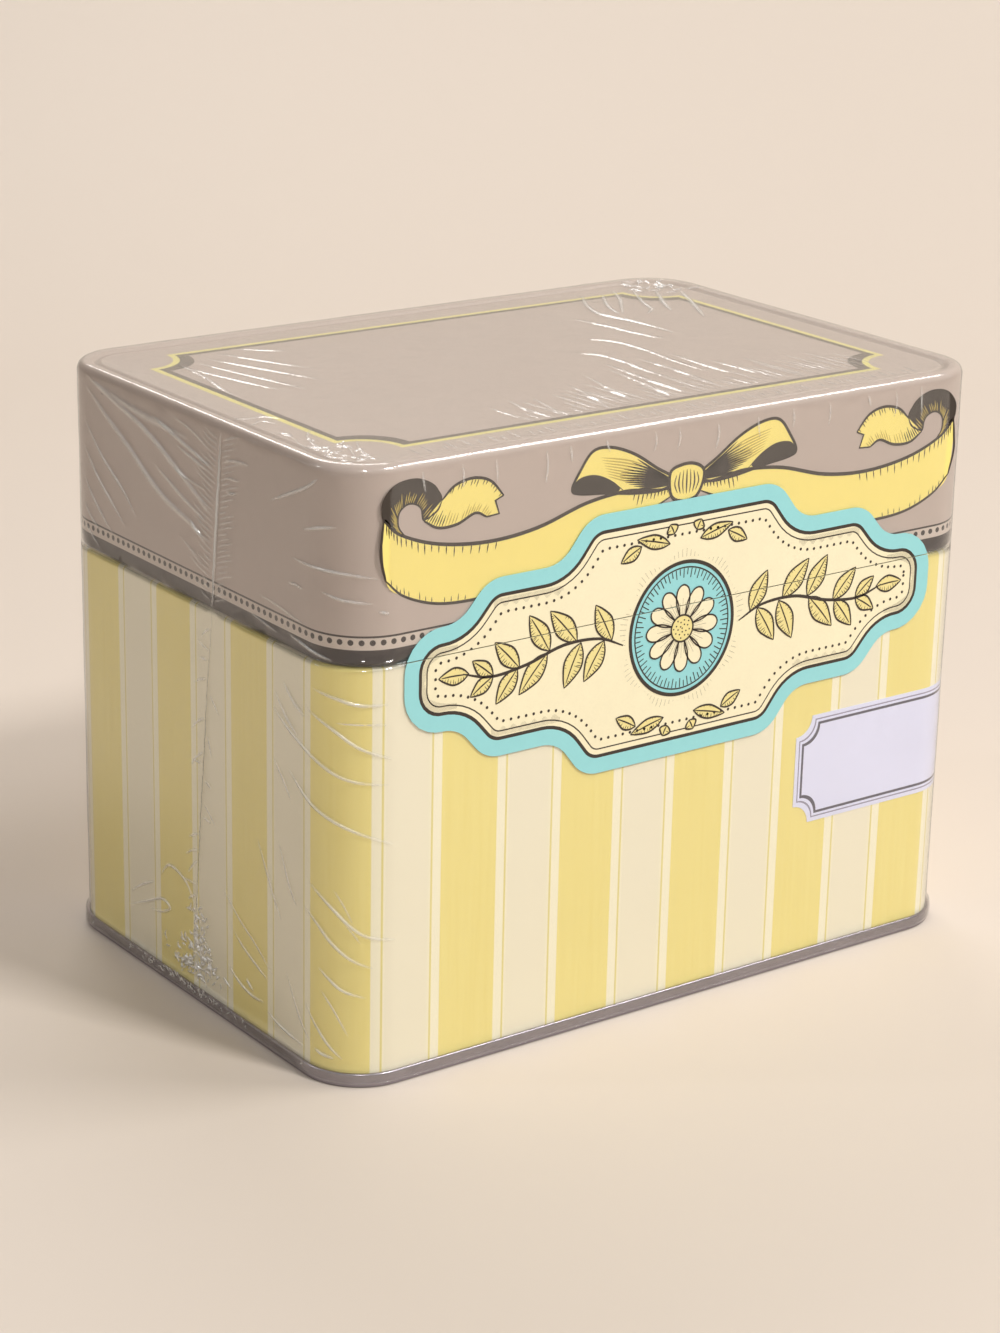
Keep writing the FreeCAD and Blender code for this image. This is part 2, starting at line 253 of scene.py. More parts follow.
def coat(piece, *materials):
    """Gives a new piece its finishes, in the order of its faces' numbers."""
    for material in materials:
        piece.data.materials.append(material)


def apply_modifier(piece, kind, **settings):
    only(piece)
    modifier = piece.modifiers.new(kind.lower(), kind)
    for key, value in settings.items():
        setattr(modifier, key, value)
    bpy.ops.object.modifier_apply(modifier=modifier.name)


def smooth(piece):
    only(piece)
    bpy.ops.object.shade_smooth_by_angle(angle=math.radians(35))
    apply_modifier(piece, "WEIGHTED_NORMAL", keep_sharp=True, weight=100)


def girth_place(x, y):
    """Distance round the outline from the middle of the front, positive to the right."""
    if abs(x) <= core_x and y < 0:
        return x
    side = math.copysign(1, x)
    if abs(x) <= core_x:
        return side * (girth / 2 - abs(x))
    if abs(y) <= core_y:
        return side * (core_x + quarter + core_y + y)
    if y < 0:
        turn = math.atan2(abs(x) - core_x, -core_y - y)
        return side * (core_x + corner_radius * turn)
    turn = math.atan2(y - core_y, abs(x) - core_x)
    return side * (core_x + quarter + 2 * core_y + corner_radius * turn)


def lay_print(piece):
    """UV of the printed sheet in metres: distance round the outline, and height."""
    mesh = piece.data
    layer = mesh.uv_layers.active or mesh.uv_layers.new(name="printed_sheet")
    for face in mesh.polygons:
        middle = girth_place(face.center.x, face.center.y)
        for loop in face.loop_indices:
            spot = mesh.vertices[mesh.loops[loop].vertex_index].co
            place = girth_place(spot.x, spot.y)
            place += girth * round((middle - place) / girth)
            layer.uv[loop].vector = (place, spot.z)


def ramp(tree, value, start, stop, low=0.0, high=1.0):
    """Smooth step of a value from low at start to high at stop."""
    step = tree.nodes.new("ShaderNodeMapRange")
    step.interpolation_type = "SMOOTHSTEP"
    for number, key in ((start, "From Min"), (stop, "From Max"), (low, "To Min"), (high, "To Max")):
        join(tree, number, step.inputs[key])
    join(tree, value, step.inputs["Value"])
    return step.outputs["Result"]


def sheet_place(tree):
    """Distance round the printed sheet and height on it, from its UV."""
    spread = tree.nodes.new("ShaderNodeSeparateXYZ")
    join(tree, tree.nodes.new("ShaderNodeUVMap").outputs["UV"], spread.inputs["Vector"])
    return spread.outputs["X"], spread.outputs["Y"]


def scaled(tree, tint, shade):
    step = tree.nodes.new("ShaderNodeVectorMath")
    step.operation = "SCALE"
    join(tree, tint, step.inputs[0])
    join(tree, shade, step.inputs["Scale"])
    return step.outputs[0]


shoulder = arc(shoulder_bend, shoulder_top - shoulder_bend, shoulder_bend, 180, 90, 6)
shoulder += arc(neck_inset - neck_bend, shoulder_top + neck_bend, neck_bend, 270, 360, 5)
rim = arc(neck_inset + rim_radius, rim_centre, rim_radius, 180, -90, 18)
body = roll_round("body_wall_printed", [(0, wall_foot)] + shoulder + rim)

stripe_pitch = girth / 18
stripe_centre = 66.9 * mm
yellow_half = 6.9 * mm
pinstripe_place = yellow_half + 2.3 * mm
pinstripe_core = 0.14 * mm
pinstripe_edge = 0.34 * mm
pale_fade = 1.0 * mm
ink_edge = 0.12 * mm
yellow_ink = colour(243, 229, 148)
yellow_deep = colour(237, 219, 130)
cream_ink = colour(241, 233, 207)
pale_ink = colour(247, 240, 212)
pin_ink = colour(230, 216, 140)

print_gloss = 0.34
printed_body, tree, shader = finish("stripe_print", cream_ink, print_gloss)
round_way = sheet_place(tree)[0]
turns = calc(tree, "DIVIDE", calc(tree, "SUBTRACT", round_way, stripe_centre), stripe_pitch)
nearest = calc(tree, "ROUND", turns)
off = calc(tree, "MULTIPLY", calc(tree, "ABSOLUTE", calc(tree, "SUBTRACT", turns, nearest)), stripe_pitch)
fade = ramp(tree, off, pinstripe_place, pinstripe_place + pale_fade)
cream = blend_colours(tree, fade, pale_ink, cream_ink)
pin = calc(tree, "ABSOLUTE", calc(tree, "SUBTRACT", off, pinstripe_place))
cream = blend_colours(tree, ramp(tree, pin, pinstripe_core, pinstripe_edge), pin_ink, cream)
brushed = grain(tree, 1.0, 0.9, (900, 25, 1), "UV")
yellow = blend_colours(tree, brushed["Height"], yellow_deep, yellow_ink)
inside = ramp(tree, off, yellow_half - ink_edge, yellow_half + ink_edge)
stripes = blend_colours(tree, inside, yellow, cream)
specks = grain(tree, 2600.0, 0.07)
join(tree, scaled(tree, stripes, specks["Shade"]), shader.inputs["Base Color"])
join(tree, calc(tree, "MULTIPLY", specks["Shade"], print_gloss), shader.inputs["Roughness"])
dents = grain(tree, 28.0, 1.0, (1, 1, 0.6))
raised(tree, shader, calc(tree, "MULTIPLY_ADD", specks["Height"], 0.02, dents["Height"]), 0.0003)

bare_inside = tinplate("tinplate_inside", colour(208, 203, 198), 0.36, (1, 1, 12))
coat(body, printed_body, bare_inside)
for face in body.data.polygons:
    if face.center.z > shoulder_top + 0.1 * mm:
        face.material_index = 1
apply_modifier(body, "SOLIDIFY", thickness=sheet, offset=-1, material_offset=1, material_offset_rim=1)
smooth(body)
lay_print(body)
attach(body, "box")
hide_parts("body_wall")

# Corner label
# A paper label stuck round the right front corner under the film: lavender white, with
# hollow corners and two ruled lines inside its edge, the inner one thicker.
label_start = 34 * mm
label_stop = core_x + quarter + 6.6 * mm
label_low = 33.5 * mm
label_high = 58.5 * mm
label_notch = 4.4 * mm
label_off = 0.02 * mm
paper = 0.1 * mm


def wall_spot(place, z, off):
    """Point at a distance round the outline, a height, and a distance off the tin."""
    place = (place + girth / 2) % girth - girth / 2
    side = math.copysign(1, place)
    far = abs(place)
    reach = corner_radius + off
    if far <= core_x:
        return Vector((place, -core_y - reach, z))
    far -= core_x
    if far <= quarter:
        turn = far / corner_radius
        return Vector((side * (core_x + reach * math.sin(turn)), -core_y - reach * math.cos(turn), z))
    far -= quarter
    if far <= 2 * core_y:
        return Vector((side * (core_x + reach), far - core_y, z))
    far -= 2 * core_y
    if far <= quarter:
        turn = far / corner_radius
        return Vector((side * (core_x + reach * math.cos(turn)), core_y + reach * math.sin(turn), z))
    return Vector((side * (core_x - far + quarter), core_y + reach, z))


def cut_sheet(name, outlines, tones):
    """A flat sheet on the front plane: nested outlines of (x, z), a finish for each ring and the middle."""
    bpy.ops.mesh.primitive_circle_add(vertices=len(outlines[0]), fill_type="NOTHING")
    piece = bpy.context.object
    piece.name = name
    edit(piece, "EDGE")
    for number, outline in enumerate(outlines):
        if number:
            bpy.ops.mesh.extrude_edges_move()
        form = bmesh.from_edit_mesh(piece.data)
        form.verts.ensure_lookup_table()
        ring = list(form.verts)[-len(outline):]
        for vertex, (x, z) in zip(ring, outline):
            vertex.co = (x, 0, z)
        for face in form.faces:
            if any(vertex in ring for vertex in face.verts):
                face.material_index = tones[number - 1]
        bmesh.update_edit_mesh(piece.data)
    bpy.ops.mesh.edge_face_add()
    form = bmesh.from_edit_mesh(piece.data)
    for face in form.faces:
        if len(face.verts) > 4:
            face.material_index = tones[-1]
        face.normal_update()
        if face.normal.y > 0:
            face.normal_flip()
    bmesh.ops.triangulate(form, faces=[face for face in form.faces if len(face.verts) > 4])
    bmesh.update_edit_mesh(piece.data)
    leave()
    apply_modifier(piece, "SOLIDIFY", thickness=paper, offset=1, use_rim=True)
    return piece


def notched(low_x, high_x, low_z, high_z, radius):
    """Outline of a rectangle with a hollow quarter circle at each corner."""
    spots = []
    for x, z, start in ((low_x, low_z, 90), (high_x, low_z, 180), (high_x, high_z, 270), (low_x, high_z, 0)):
        for i in range(11):
            turn = math.radians(start - 9 * i)
            spots.append((x + radius * math.cos(turn), z + radius * math.sin(turn)))
    return spots


def grainy(tree, tint):
    """A colour to scale, as a blend of two near shades by grain."""
    cloud = grain(tree, 350.0, 1.0)
    low = tuple(channel * 0.94 for channel in tint)
    return blend_colours(tree, cloud["Height"], low, tint)


def ink_on_paper(name, tint, roughness=0.55, wear=0.1):
    """Printed or plain paper: fibres in its colour and a slight tooth."""
    material, tree, shader = finish(name, tint, roughness)
    fibres = grain(tree, 1800.0, wear)
    cloud = grain(tree, 60.0, wear)
    shade = calc(tree, "MULTIPLY", fibres["Shade"], cloud["Shade"])
    join(tree, scaled(tree, grainy(tree, tint), shade), shader.inputs["Base Color"])
    join(tree, calc(tree, "MULTIPLY", fibres["Shade"], roughness), shader.inputs["Roughness"])
    raised(tree, shader, fibres["Height"], 0.00002)
    return material


label_rings = []
for margin in (0, 0.9, 1.2, 1.75, 2.35):
    margin *= mm
    label_rings.append(notched(label_start + margin, label_stop - margin,
                               label_low + margin, label_high - margin, label_notch))
label = cut_sheet("corner_label_ruled", label_rings, (0, 1, 0, 2, 0))
edit(label)
bend = core_x
while bend < core_x + quarter:
    bpy.ops.mesh.select_all(action="SELECT")
    bpy.ops.mesh.bisect(plane_co=(bend, 0, 0), plane_no=(1, 0, 0))
    bend += 1 * mm
leave()
for vertex in label.data.vertices:
    vertex.co = wall_spot(vertex.co.x, vertex.co.z, label_off - vertex.co.y)
label_paper = ink_on_paper("label_paper", colour(229, 230, 252))
label_fine_line = ink_on_paper("label_fine_line", colour(150, 145, 165))
label_ruled_line = ink_on_paper("label_ruled_line", colour(88, 84, 98))
coat(label, label_paper, label_fine_line, label_ruled_line)
smooth(label)
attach(label, "box")
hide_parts("corner_label")

# Hinge
# Two tabs of tinplate riveted to the neck wrap round a bright steel wire, which the lid's
# back curl holds. All three are bare metal and lie out of sight behind the lid.
for name in ("hinge_tab_left", "hinge_tab_right", "hinge_rivets"):
    refinish(node[name], steel)
refinish(node["hinge_wire"], tinplate("wire_drawn", colour(205, 203, 200), 0.22, (20, 1, 1)))

# Recipe cards and dividers
# Eight packs of ruled index cards on white stock, each behind a divider of coloured
# board with a tab. They stand loose on the panel and lean back a little.
rule_pitch = 6.33 * mm
rule_first = 11 * mm
heading_z = 91 * mm
heading_space = 2 * mm


def card_finish(name, tint, rule, heading):
    """Card stock with printed rules at even heights and a heading rule near the top."""
    material, tree, shader = finish(name, tint, 0.6)
    fibres = grain(tree, 1500.0, 0.12)
    spread = tree.nodes.new("ShaderNodeSeparateXYZ")
    join(tree, tree.nodes.new("ShaderNodeTexCoord").outputs["Object"], spread.inputs["Vector"])
    z = spread.outputs["Z"]
    lines = calc(tree, "DIVIDE", calc(tree, "SUBTRACT", z, rule_first), rule_pitch)
    gap = calc(tree, "ABSOLUTE", calc(tree, "SUBTRACT", lines, calc(tree, "ROUND", lines)))
    ruled = ramp(tree, calc(tree, "MULTIPLY", gap, rule_pitch), 0.1 * mm, 0.2 * mm)
    ruled = calc(tree, "MAXIMUM", ruled, calc(tree, "GREATER_THAN", z, heading_z - heading_space))
    head = ramp(tree, calc(tree, "ABSOLUTE", calc(tree, "SUBTRACT", z, heading_z)), 0.15 * mm, 0.3 * mm)
    printed = blend_colours(tree, head, heading, blend_colours(tree, ruled, rule, grainy(tree, tint)))
    join(tree, scaled(tree, printed, fibres["Shade"]), shader.inputs["Base Color"])
    raised(tree, shader, fibres["Height"], 0.00003)
    return material


card_stock = card_finish("card_stock", colour(244, 240, 228), colour(176, 192, 206), colour(196, 134, 120))
board = card_finish("divider_board", colour(226, 208, 150), colour(214, 194, 134), colour(160, 130, 80))
for name, piece in node.items():
    if name.startswith(("recipe_cards", "divider")):
        refinish(piece, board if name.startswith("divider") else card_stock)

# Lid shell
# Drawn from one blank printed in satin taupe: a round bead and a groove about its top,
# a thin ruled frame on the panel, a dotted border above the curl at its lower edge.
curl_radius = 0.8 * mm
bead_radius = 1.625 * mm
bead_inner = 2.5 * mm
groove_outer = 3.8 * mm
groove_inner = 4.2 * mm
panel_start = 5.1 * mm
lid_top = lid_high.z
groove_z = lid_top - 0.85 * mm
panel_z = lid_top - 0.35 * mm


def slope(start, stop):
    """Soft S from one (inset, z) to another."""
    spots = []
    for i in range(8):
        share = i / 7
        rise = (1 - math.cos(math.pi * share)) / 2
        spots.append((start[0] + (stop[0] - start[0]) * share, start[1] + (stop[1] - start[1]) * rise))
    return spots


curl = arc(curl_radius, lid_low.z + curl_radius, curl_radius, 90, -180, 18)
top = arc(bead_radius, lid_top - bead_radius, bead_radius, 180, 90, 10)
top += slope((bead_inner, lid_top), (groove_outer, groove_z))
top += slope((groove_inner, groove_z), (panel_start, panel_z))
lid = roll_round("lid_printed", curl + top)
edit(lid, "EDGE")
pick(lid, "edges", lambda e: e.is_boundary and e.verts[0].co.z > panel_z - 0.01 * mm
     and e.verts[1].co.z > panel_z - 0.01 * mm)
bpy.ops.mesh.edge_face_add()
bpy.ops.mesh.select_all(action="SELECT")
bpy.ops.mesh.normals_make_consistent(inside=False)
leave()

frame_half_x = 72 * mm
frame_half_y = 45 * mm
frame_notch = 9.5 * mm
frame_line = 0.72 * mm
frame_shadow = 2.0 * mm
border_line_z = (96.5 * mm, 96.8 * mm)
border_top = 93.95 * mm
dot_z = 95.45 * mm
dot_start = -76.68 * mm
dot_pitch = girth / 247
dot_radius = 0.6 * mm
dot_blur = 0.08 * mm
print_blur = 0.06 * mm
line_edge = 0.28 * mm
line_core = 0.14 * mm
taupe_ink = colour(188, 172, 162)
taupe_light = colour(204, 190, 178)
umber_ink = colour(50, 39, 36)
frame_yellow = colour(240, 230, 130)
frame_shade = colour(38, 30, 20)
# painted shade for the hollow of the groove inside the bead
groove_painted_shade = colour(128, 112, 102)

notched_group, notched_in, notched_out = new_group(
    "notched_frame",
    [("Across", "NodeSocketFloat", 0.0), ("Along", "NodeSocketFloat", 0.0),
     ("Half Across", "NodeSocketFloat", 0.1), ("Half Along", "NodeSocketFloat", 0.1),
     ("Notch", "NodeSocketFloat", 0.01)],
    [("Outside", "NodeSocketFloat")])
across = calc(notched_group, "ABSOLUTE", notched_in["Across"])
along = calc(notched_group, "ABSOLUTE", notched_in["Along"])
step_x = calc(notched_group, "SUBTRACT", across, notched_in["Half Across"])
step_y = calc(notched_group, "SUBTRACT", along, notched_in["Half Along"])
corner_far = calc(notched_group, "SQRT", calc(
    notched_group, "ADD", calc(notched_group, "MULTIPLY", step_x, step_x),
    calc(notched_group, "MULTIPLY", step_y, step_y)))
beyond_sides = calc(notched_group, "MAXIMUM", step_x, step_y)
in_notch = calc(notched_group, "SUBTRACT", notched_in["Notch"], corner_far)
join(notched_group, calc(notched_group, "MAXIMUM", beyond_sides, in_notch), notched_out["Outside"])

lid_gloss = 0.32
printed_lid, tree, shader = finish("lid_print", taupe_ink, lid_gloss)
shader.inputs["Specular IOR Level"].default_value = 0.35
round_way, up_way = sheet_place(tree)
steps = calc(tree, "DIVIDE", calc(tree, "SUBTRACT", round_way, dot_start), dot_pitch)
dot_x = calc(tree, "MULTIPLY", calc(tree, "SUBTRACT", steps, calc(tree, "ROUND", steps)), dot_pitch)
dot_y = calc(tree, "SUBTRACT", up_way, dot_z)
dot_far = calc(tree, "SQRT", calc(tree, "ADD", calc(tree, "MULTIPLY", dot_x, dot_x),
                                  calc(tree, "MULTIPLY", dot_y, dot_y)))
dots = ramp(tree, dot_far, dot_radius + dot_blur, dot_radius - dot_blur)
band = ramp(tree, up_way, border_top + print_blur, border_top - print_blur)
line_mid = (border_line_z[0] + border_line_z[1]) / 2
line_off = calc(tree, "ABSOLUTE", calc(tree, "SUBTRACT", up_way, line_mid))
line = ramp(tree, line_off, line_edge, line_core)
dark = calc(tree, "MAXIMUM", calc(tree, "MAXIMUM", dots, band), line)
mottle = grain(tree, 180.0, 0.06)
specks = grain(tree, 3000.0, 0.06)
strip = ramp(tree, up_way, line_mid + 0.1 * mm, line_mid - 0.1 * mm)
ground = blend_colours(tree, strip, taupe_ink, taupe_light)
flat = tree.nodes.new("ShaderNodeSeparateXYZ")
join(tree, tree.nodes.new("ShaderNodeTexCoord").outputs["Object"], flat.inputs["Vector"])
outer = use_group(tree, notched_group, Across=flat.outputs["X"], Along=flat.outputs["Y"],
                  Half_Across=frame_half_x, Half_Along=frame_half_y, Notch=frame_notch)["Outside"]
inner = use_group(tree, notched_group, Across=flat.outputs["X"], Along=flat.outputs["Y"],
                  Half_Across=frame_half_x - frame_shadow, Half_Along=frame_half_y - frame_shadow,
                  Notch=frame_notch + 0.8 * mm)["Outside"]
shadow = calc(tree, "MULTIPLY", ramp(tree, outer, 0, -print_blur), ramp(tree, inner, -0.36 * mm, -0.28 * mm))
gold = ramp(tree, calc(tree, "ABSOLUTE", outer), frame_line + print_blur, frame_line - print_blur)
far_x = calc(tree, "SUBTRACT", calc(tree, "ABSOLUTE", flat.outputs["X"]), core_x)
far_y = calc(tree, "SUBTRACT", calc(tree, "ABSOLUTE", flat.outputs["Y"]), core_y)
bent_x, bent_y = calc(tree, "MAXIMUM", far_x, 0.0), calc(tree, "MAXIMUM", far_y, 0.0)
edge_far = calc(tree, "ADD", calc(tree, "SQRT", calc(tree, "ADD", calc(tree, "MULTIPLY", bent_x, bent_x),
                                                     calc(tree, "MULTIPLY", bent_y, bent_y))),
                calc(tree, "MINIMUM", calc(tree, "MAXIMUM", far_x, far_y), 0.0))
# painted shade: the print is darkened along the groove inside the bead, where its hollow is shaded
groove_far = corner_radius - (groove_outer + groove_inner) / 2
groove_off = calc(tree, "ABSOLUTE", calc(tree, "SUBTRACT", edge_far, groove_far))
ground = blend_colours(tree, ramp(tree, groove_off, 0.75 * mm, 0.15 * mm, 0.0, 0.75), ground, groove_painted_shade)
ground = blend_colours(tree, shadow, ground, frame_shade)
ground = blend_colours(tree, gold, ground, frame_yellow)
ground = blend_colours(tree, dark, ground, umber_ink)
shade = calc(tree, "MULTIPLY", mottle["Shade"], specks["Shade"])
join(tree, scaled(tree, ground, shade), shader.inputs["Base Color"])
join(tree, calc(tree, "MULTIPLY", specks["Shade"], lid_gloss), shader.inputs["Roughness"])
dents = grain(tree, 22.0, 1.0)
raised(tree, shader, calc(tree, "MULTIPLY_ADD", specks["Height"], 0.015, dents["Height"]), 0.0003)

coat(lid, printed_lid, bare_inside)
apply_modifier(lid, "SOLIDIFY", thickness=sheet, offset=-1, material_offset=1, material_offset_rim=1)
smooth(lid)
lay_print(lid)
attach(lid, "lid")
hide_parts("lid_shell")

# Printed bow
# Part of the lid's print: a ribbon tied in a bow, drawn in an engraver's manner in yellow
# with umber outlines and hatching. Its two halves are alike.
ink_step = 0.015 * mm


def soft(points, closed=False, fine=7):
    """Smooth curve through points of (x, z), as vectors."""
    spots = [Vector(point) for point in points]
    if closed:
        spots = [spots[-1]] + spots + spots[:2]
    else:
        spots = [2 * spots[0] - spots[1]] + spots + [2 * spots[-1] - spots[-2]]
    line = []
    for a, b, c, d in zip(spots, spots[1:], spots[2:], spots[3:]):
        run = interpolate_bezier(b, b + (c - a) / 6, c - (d - b) / 6, c, fine)
        line += [Vector(spot) for spot in run[:-1]]
    return line if closed else line + [spots[-2]]


def lay_face(art, spots, layer, tone):
    """One flat face facing the front, in millimetres of (x, z), with a finish number."""
    corners = [art.verts.new((spot[0] * mm, -layer * ink_step, spot[1] * mm)) for spot in spots]
    face = art.faces.new(corners)
    face.normal_update()
    if face.normal.y > 0:
        face.normal_flip()
    face.material_index = tone


def fill(art, points, layer=1, tone=0, mirror=True):
    for side in (1, -1) if mirror else (1,):
        lay_face(art, [(side * x, z) for x, z in soft(points, closed=True)], layer, tone)


def stroke(art, points, width, layer=3, tone=1, mirror=True, closed=False, taper=0.5, curve=True):
    """A pen stroke that swells in the middle; taper 0 keeps one width."""
    line = soft(points, closed) if curve else [Vector(point) for point in points]
    if closed:
        line = line + [line[0]]
    last = len(line) - 1
    edges = []
    for i, spot in enumerate(line):
        before = line[i - 1] if i else (line[-2] if closed else line[0])
        after = line[i + 1] if i < last else (line[1] if closed else line[-1])
        way = (after - before).normalized()
        swell = 1 if closed or not taper else max(math.sin(math.pi * i / last), 0.04) ** taper
        across = Vector((-way.y, way.x)) * width / 2 * swell
        edges.append((spot - across, spot + across))
    for side in (1, -1) if mirror else (1,):
        for (a, b), (c, d) in zip(edges, edges[1:]):
            lay_face(art, [(side * p.x, p.y) for p in (a, c, d, b)], layer, tone)


def hatch(art, upper, lower, count, reach, width, layer=2, tone=1, start=0.0, stop=1.0):
    """Fine strokes from one edge towards another, as an engraver shades a fold."""
    top, low = soft(upper), soft(lower)
    for i in range(count):
        share = start + (stop - start) * i / max(count - 1, 1)
        a = top[min(int(share * (len(top) - 1) + 0.5), len(top) - 1)]
        b = low[min(int(share * (len(low) - 1) + 0.5), len(low) - 1)]
        length = reach * (0.75 + 0.25 * math.sin(5.1 * i) * math.cos(2.3 * i))
        stroke(art, [a, a.lerp(b, length / 2), a.lerp(b, length)], width, layer, tone, taper=0.4,
               curve=False)


def finish_art(art, name, front, finishes):
    """Makes the drawn faces a printed film of ink at a distance in front of the box's middle."""
    mesh = bpy.data.meshes.new(name)
    bmesh.ops.triangulate(art, faces=[f for f in art.faces if len(f.verts) > 4])
    bmesh.ops.translate(art, verts=art.verts, vec=(0, -front, 0))
    art.to_mesh(mesh)
    art.free()
    piece = bpy.data.objects.new(name, mesh)
    bpy.context.scene.collection.objects.link(piece)
    coat(piece, *finishes)
    apply_modifier(piece, "SOLIDIFY", thickness=ink_step * 0.6, offset=-1)
    return piece


ribbon_ink = ink_on_paper("ribbon_yellow", colour(249, 230, 132), 0.34, 0.05)
umber_line = ink_on_paper("engraved_umber", colour(52, 42, 34), 0.45, 0.1)
ochre_ink = ink_on_paper("engraved_ochre", colour(196, 172, 84), 0.36, 0.08)

bow = bmesh.new()
tail_top = [(4, 116.2), (9, 116.6), (16, 117.4), (26, 116.4), (38, 113.2), (50, 112.2), (62, 113.6),
            (71, 116.8), (75, 120.2)]
tail_low = [(4, 114.6), (10, 112.0), (18, 108.0), (28, 104.0), (40, 101.6), (52, 100.8), (62, 101.4),
            (70, 104.2), (74.4, 108)]
fill(bow, tail_top + tail_low[::-1])
stroke(bow, tail_top, 0.8, taper=0.25)
stroke(bow, tail_low, 0.65, taper=0.25)
stroke(bow, [(74.4, 108), (75.6, 113), (75.4, 117), (75, 120.2)], 0.6, taper=0.2)
hatch(bow, tail_top, tail_low, 16, 0.5, start=0.02, stop=0.2, width=0.32)
hatch(bow, tail_top, tail_low, 26, 0.22, start=0.6, stop=0.98, width=0.3)
hatch(bow, tail_low, tail_top, 18, 0.16, start=0.5, stop=0.95, width=0.22)
# the ribbon turns over behind itself, its shaded back showing, and its end swings back in
turn_out = [(75, 120.2), (75.2, 123.8), (72.4, 126.8), (67.6, 127.4), (63.4, 125.6), (61.4, 122.4)]
turn_in = [(70.0, 116.4), (71.6, 118.6), (71.4, 121.4), (69.2, 122.8), (66.6, 121.8), (65.6, 118.8)]
fill(bow, turn_out + turn_in[::-1], layer=1, tone=1)
stroke(bow, turn_out, 0.6, layer=4, taper=0.2)
stroke(bow, turn_in, 0.4, layer=4, taper=0.3)
hatch(bow, turn_in, turn_out, 26, 0.6, width=0.24, layer=3, tone=2)
end_top = [(61.4, 122.4), (58.4, 124.9), (54.0, 125.8), (49.8, 124.6), (46.6, 121.2)]
end_low = [(65.6, 118.8), (62.2, 116.9), (57.6, 117.0), (53.4, 118.6), (50.6, 117.4)]
end_cut = [(46.6, 121.2), (48.6, 120.4), (47.6, 117.6), (50.6, 117.4)]
end_face = soft(end_top)[:-1] + [Vector(spot) for spot in end_cut[:-1]] + soft(end_low)[::-1]
for side in (1, -1):
    lay_face(bow, [(side * spot.x, spot.y) for spot in end_face], 2, 0)
stroke(bow, end_top, 0.6, layer=5, taper=0.2)
stroke(bow, end_low, 0.6, layer=5, taper=0.2)
stroke(bow, end_cut, 0.5, layer=5, taper=0.1, curve=False)
stroke(bow, [(61.4, 122.4), (62.6, 120.4), (65.6, 118.8)], 0.4, layer=5)
hatch(bow, end_low, end_top, 22, 0.4, width=0.26, layer=3, tone=2)
hatch(bow, end_low, end_top, 12, 0.45, width=0.26, layer=4, stop=0.3)
hatch(bow, end_top, end_low, 14, 0.22, width=0.22, layer=4, start=0.2, stop=0.95)
# loop, with the dark inside of the ribbon at its open end
loop = [(3.2, 118.2), (8, 121.2), (14, 125.0), (20, 127.2), (24.6, 127.0), (27.8, 123.2), (29.6, 119.8),
        (27.6, 118.6), (21, 117.8), (13, 116.6), (6, 116.4)]
fill(bow, loop, layer=2)
mouth = [(29.6, 119.8), (27.8, 121.6), (24.0, 121.8), (20.0, 120.2), (17.4, 118.0), (21, 117.6),
         (27.6, 118.4)]
fill(bow, mouth, layer=3, tone=1)
stroke(bow, loop, 0.65, layer=4, closed=True)
stroke(bow, [(29.6, 119.8), (27.8, 121.6), (24.0, 121.8), (20.0, 120.2), (16.4, 117.6)], 0.45, layer=4)
for i in range(12):
    lean = i / 11
    tip = (12.5 + 5 * math.sin(3 * lean), 117.6 + 6.2 * lean)
    stroke(bow, [(4.2, 117.0 + 1.4 * lean), (9.5, 117.2 + 4.2 * lean), tip], 0.42, layer=3, taper=0.6)
for i in range(8):
    lean = i / 7
    stroke(bow, [(11, 118.4 + 3.8 * lean), (16, 119.6 + 4.4 * lean), (20.5 + 2 * lean, 121.2 + 4.2 * lean)],
           0.3, layer=3, tone=2, taper=0.6)
# knot
knot = [(-4.4, 119.6), (-1.6, 120.9), (1.8, 120.8), (4.4, 119.2), (4.2, 116.2), (2.4, 113.6), (-1.2, 113.2),
        (-4.0, 114.8)]
fill(bow, knot, layer=5, mirror=False)
stroke(bow, knot, 0.7, layer=7, mirror=False, closed=True)
for i in range(7):
    x = -3.0 + i
    stroke(bow, [(x * 0.9, 119.8 - 0.1 * x * x), (x * 1.05, 117), (x * 0.8, 114.6 + 0.05 * x * x)],
           0.3 + 0.1 * (i % 2), layer=6, mirror=False)
bow_print = finish_art(bow, "lid_bow_print", half_depth, [ribbon_ink, umber_line, ochre_ink])
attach(bow_print, "lid")

# Shrink film
# Clear film shrunk over the whole box, cut along the lid's edge so that the lid can turn.
# Its melted seal runs down the left side with gathers beside it, and it creases at the corners.
film_mid = 0.23 * mm
film_thickness = 0.06 * mm
film_bend = 1.77 * mm
film_top = lid_top + film_mid
film_arc = film_top - film_bend
film_sag = 0.3 * mm
film_sag_reach = 8 * mm
film_upper_low = 90.6 * mm
film_lower_high = 90.4 * mm
film_lower_low = 0.9 * mm
film_back_cut = 1.9 * mm
film_back_place = core_x + quarter + 2 * core_y + 9 * mm
ring_off = 0.9 * mm
ring_top = 5.2 * mm
ring_flare = 2.0 * mm
slack_start = 6 * mm
ceiling = lid_top + 0.225 * mm
film_triangles = 90000
crease_limit = 0.6 * mm
crease_reach = 1.7 * mm
whitest = 3.0
seam_step = 1.4 * mm
seal_foot = -(core_x + quarter + core_y + 1.5 * mm)
seal_lean = 13.3 / 125


def eased(value):
    value = min(max(value, 0), 1)
    return value * value * (3 - 2 * value)


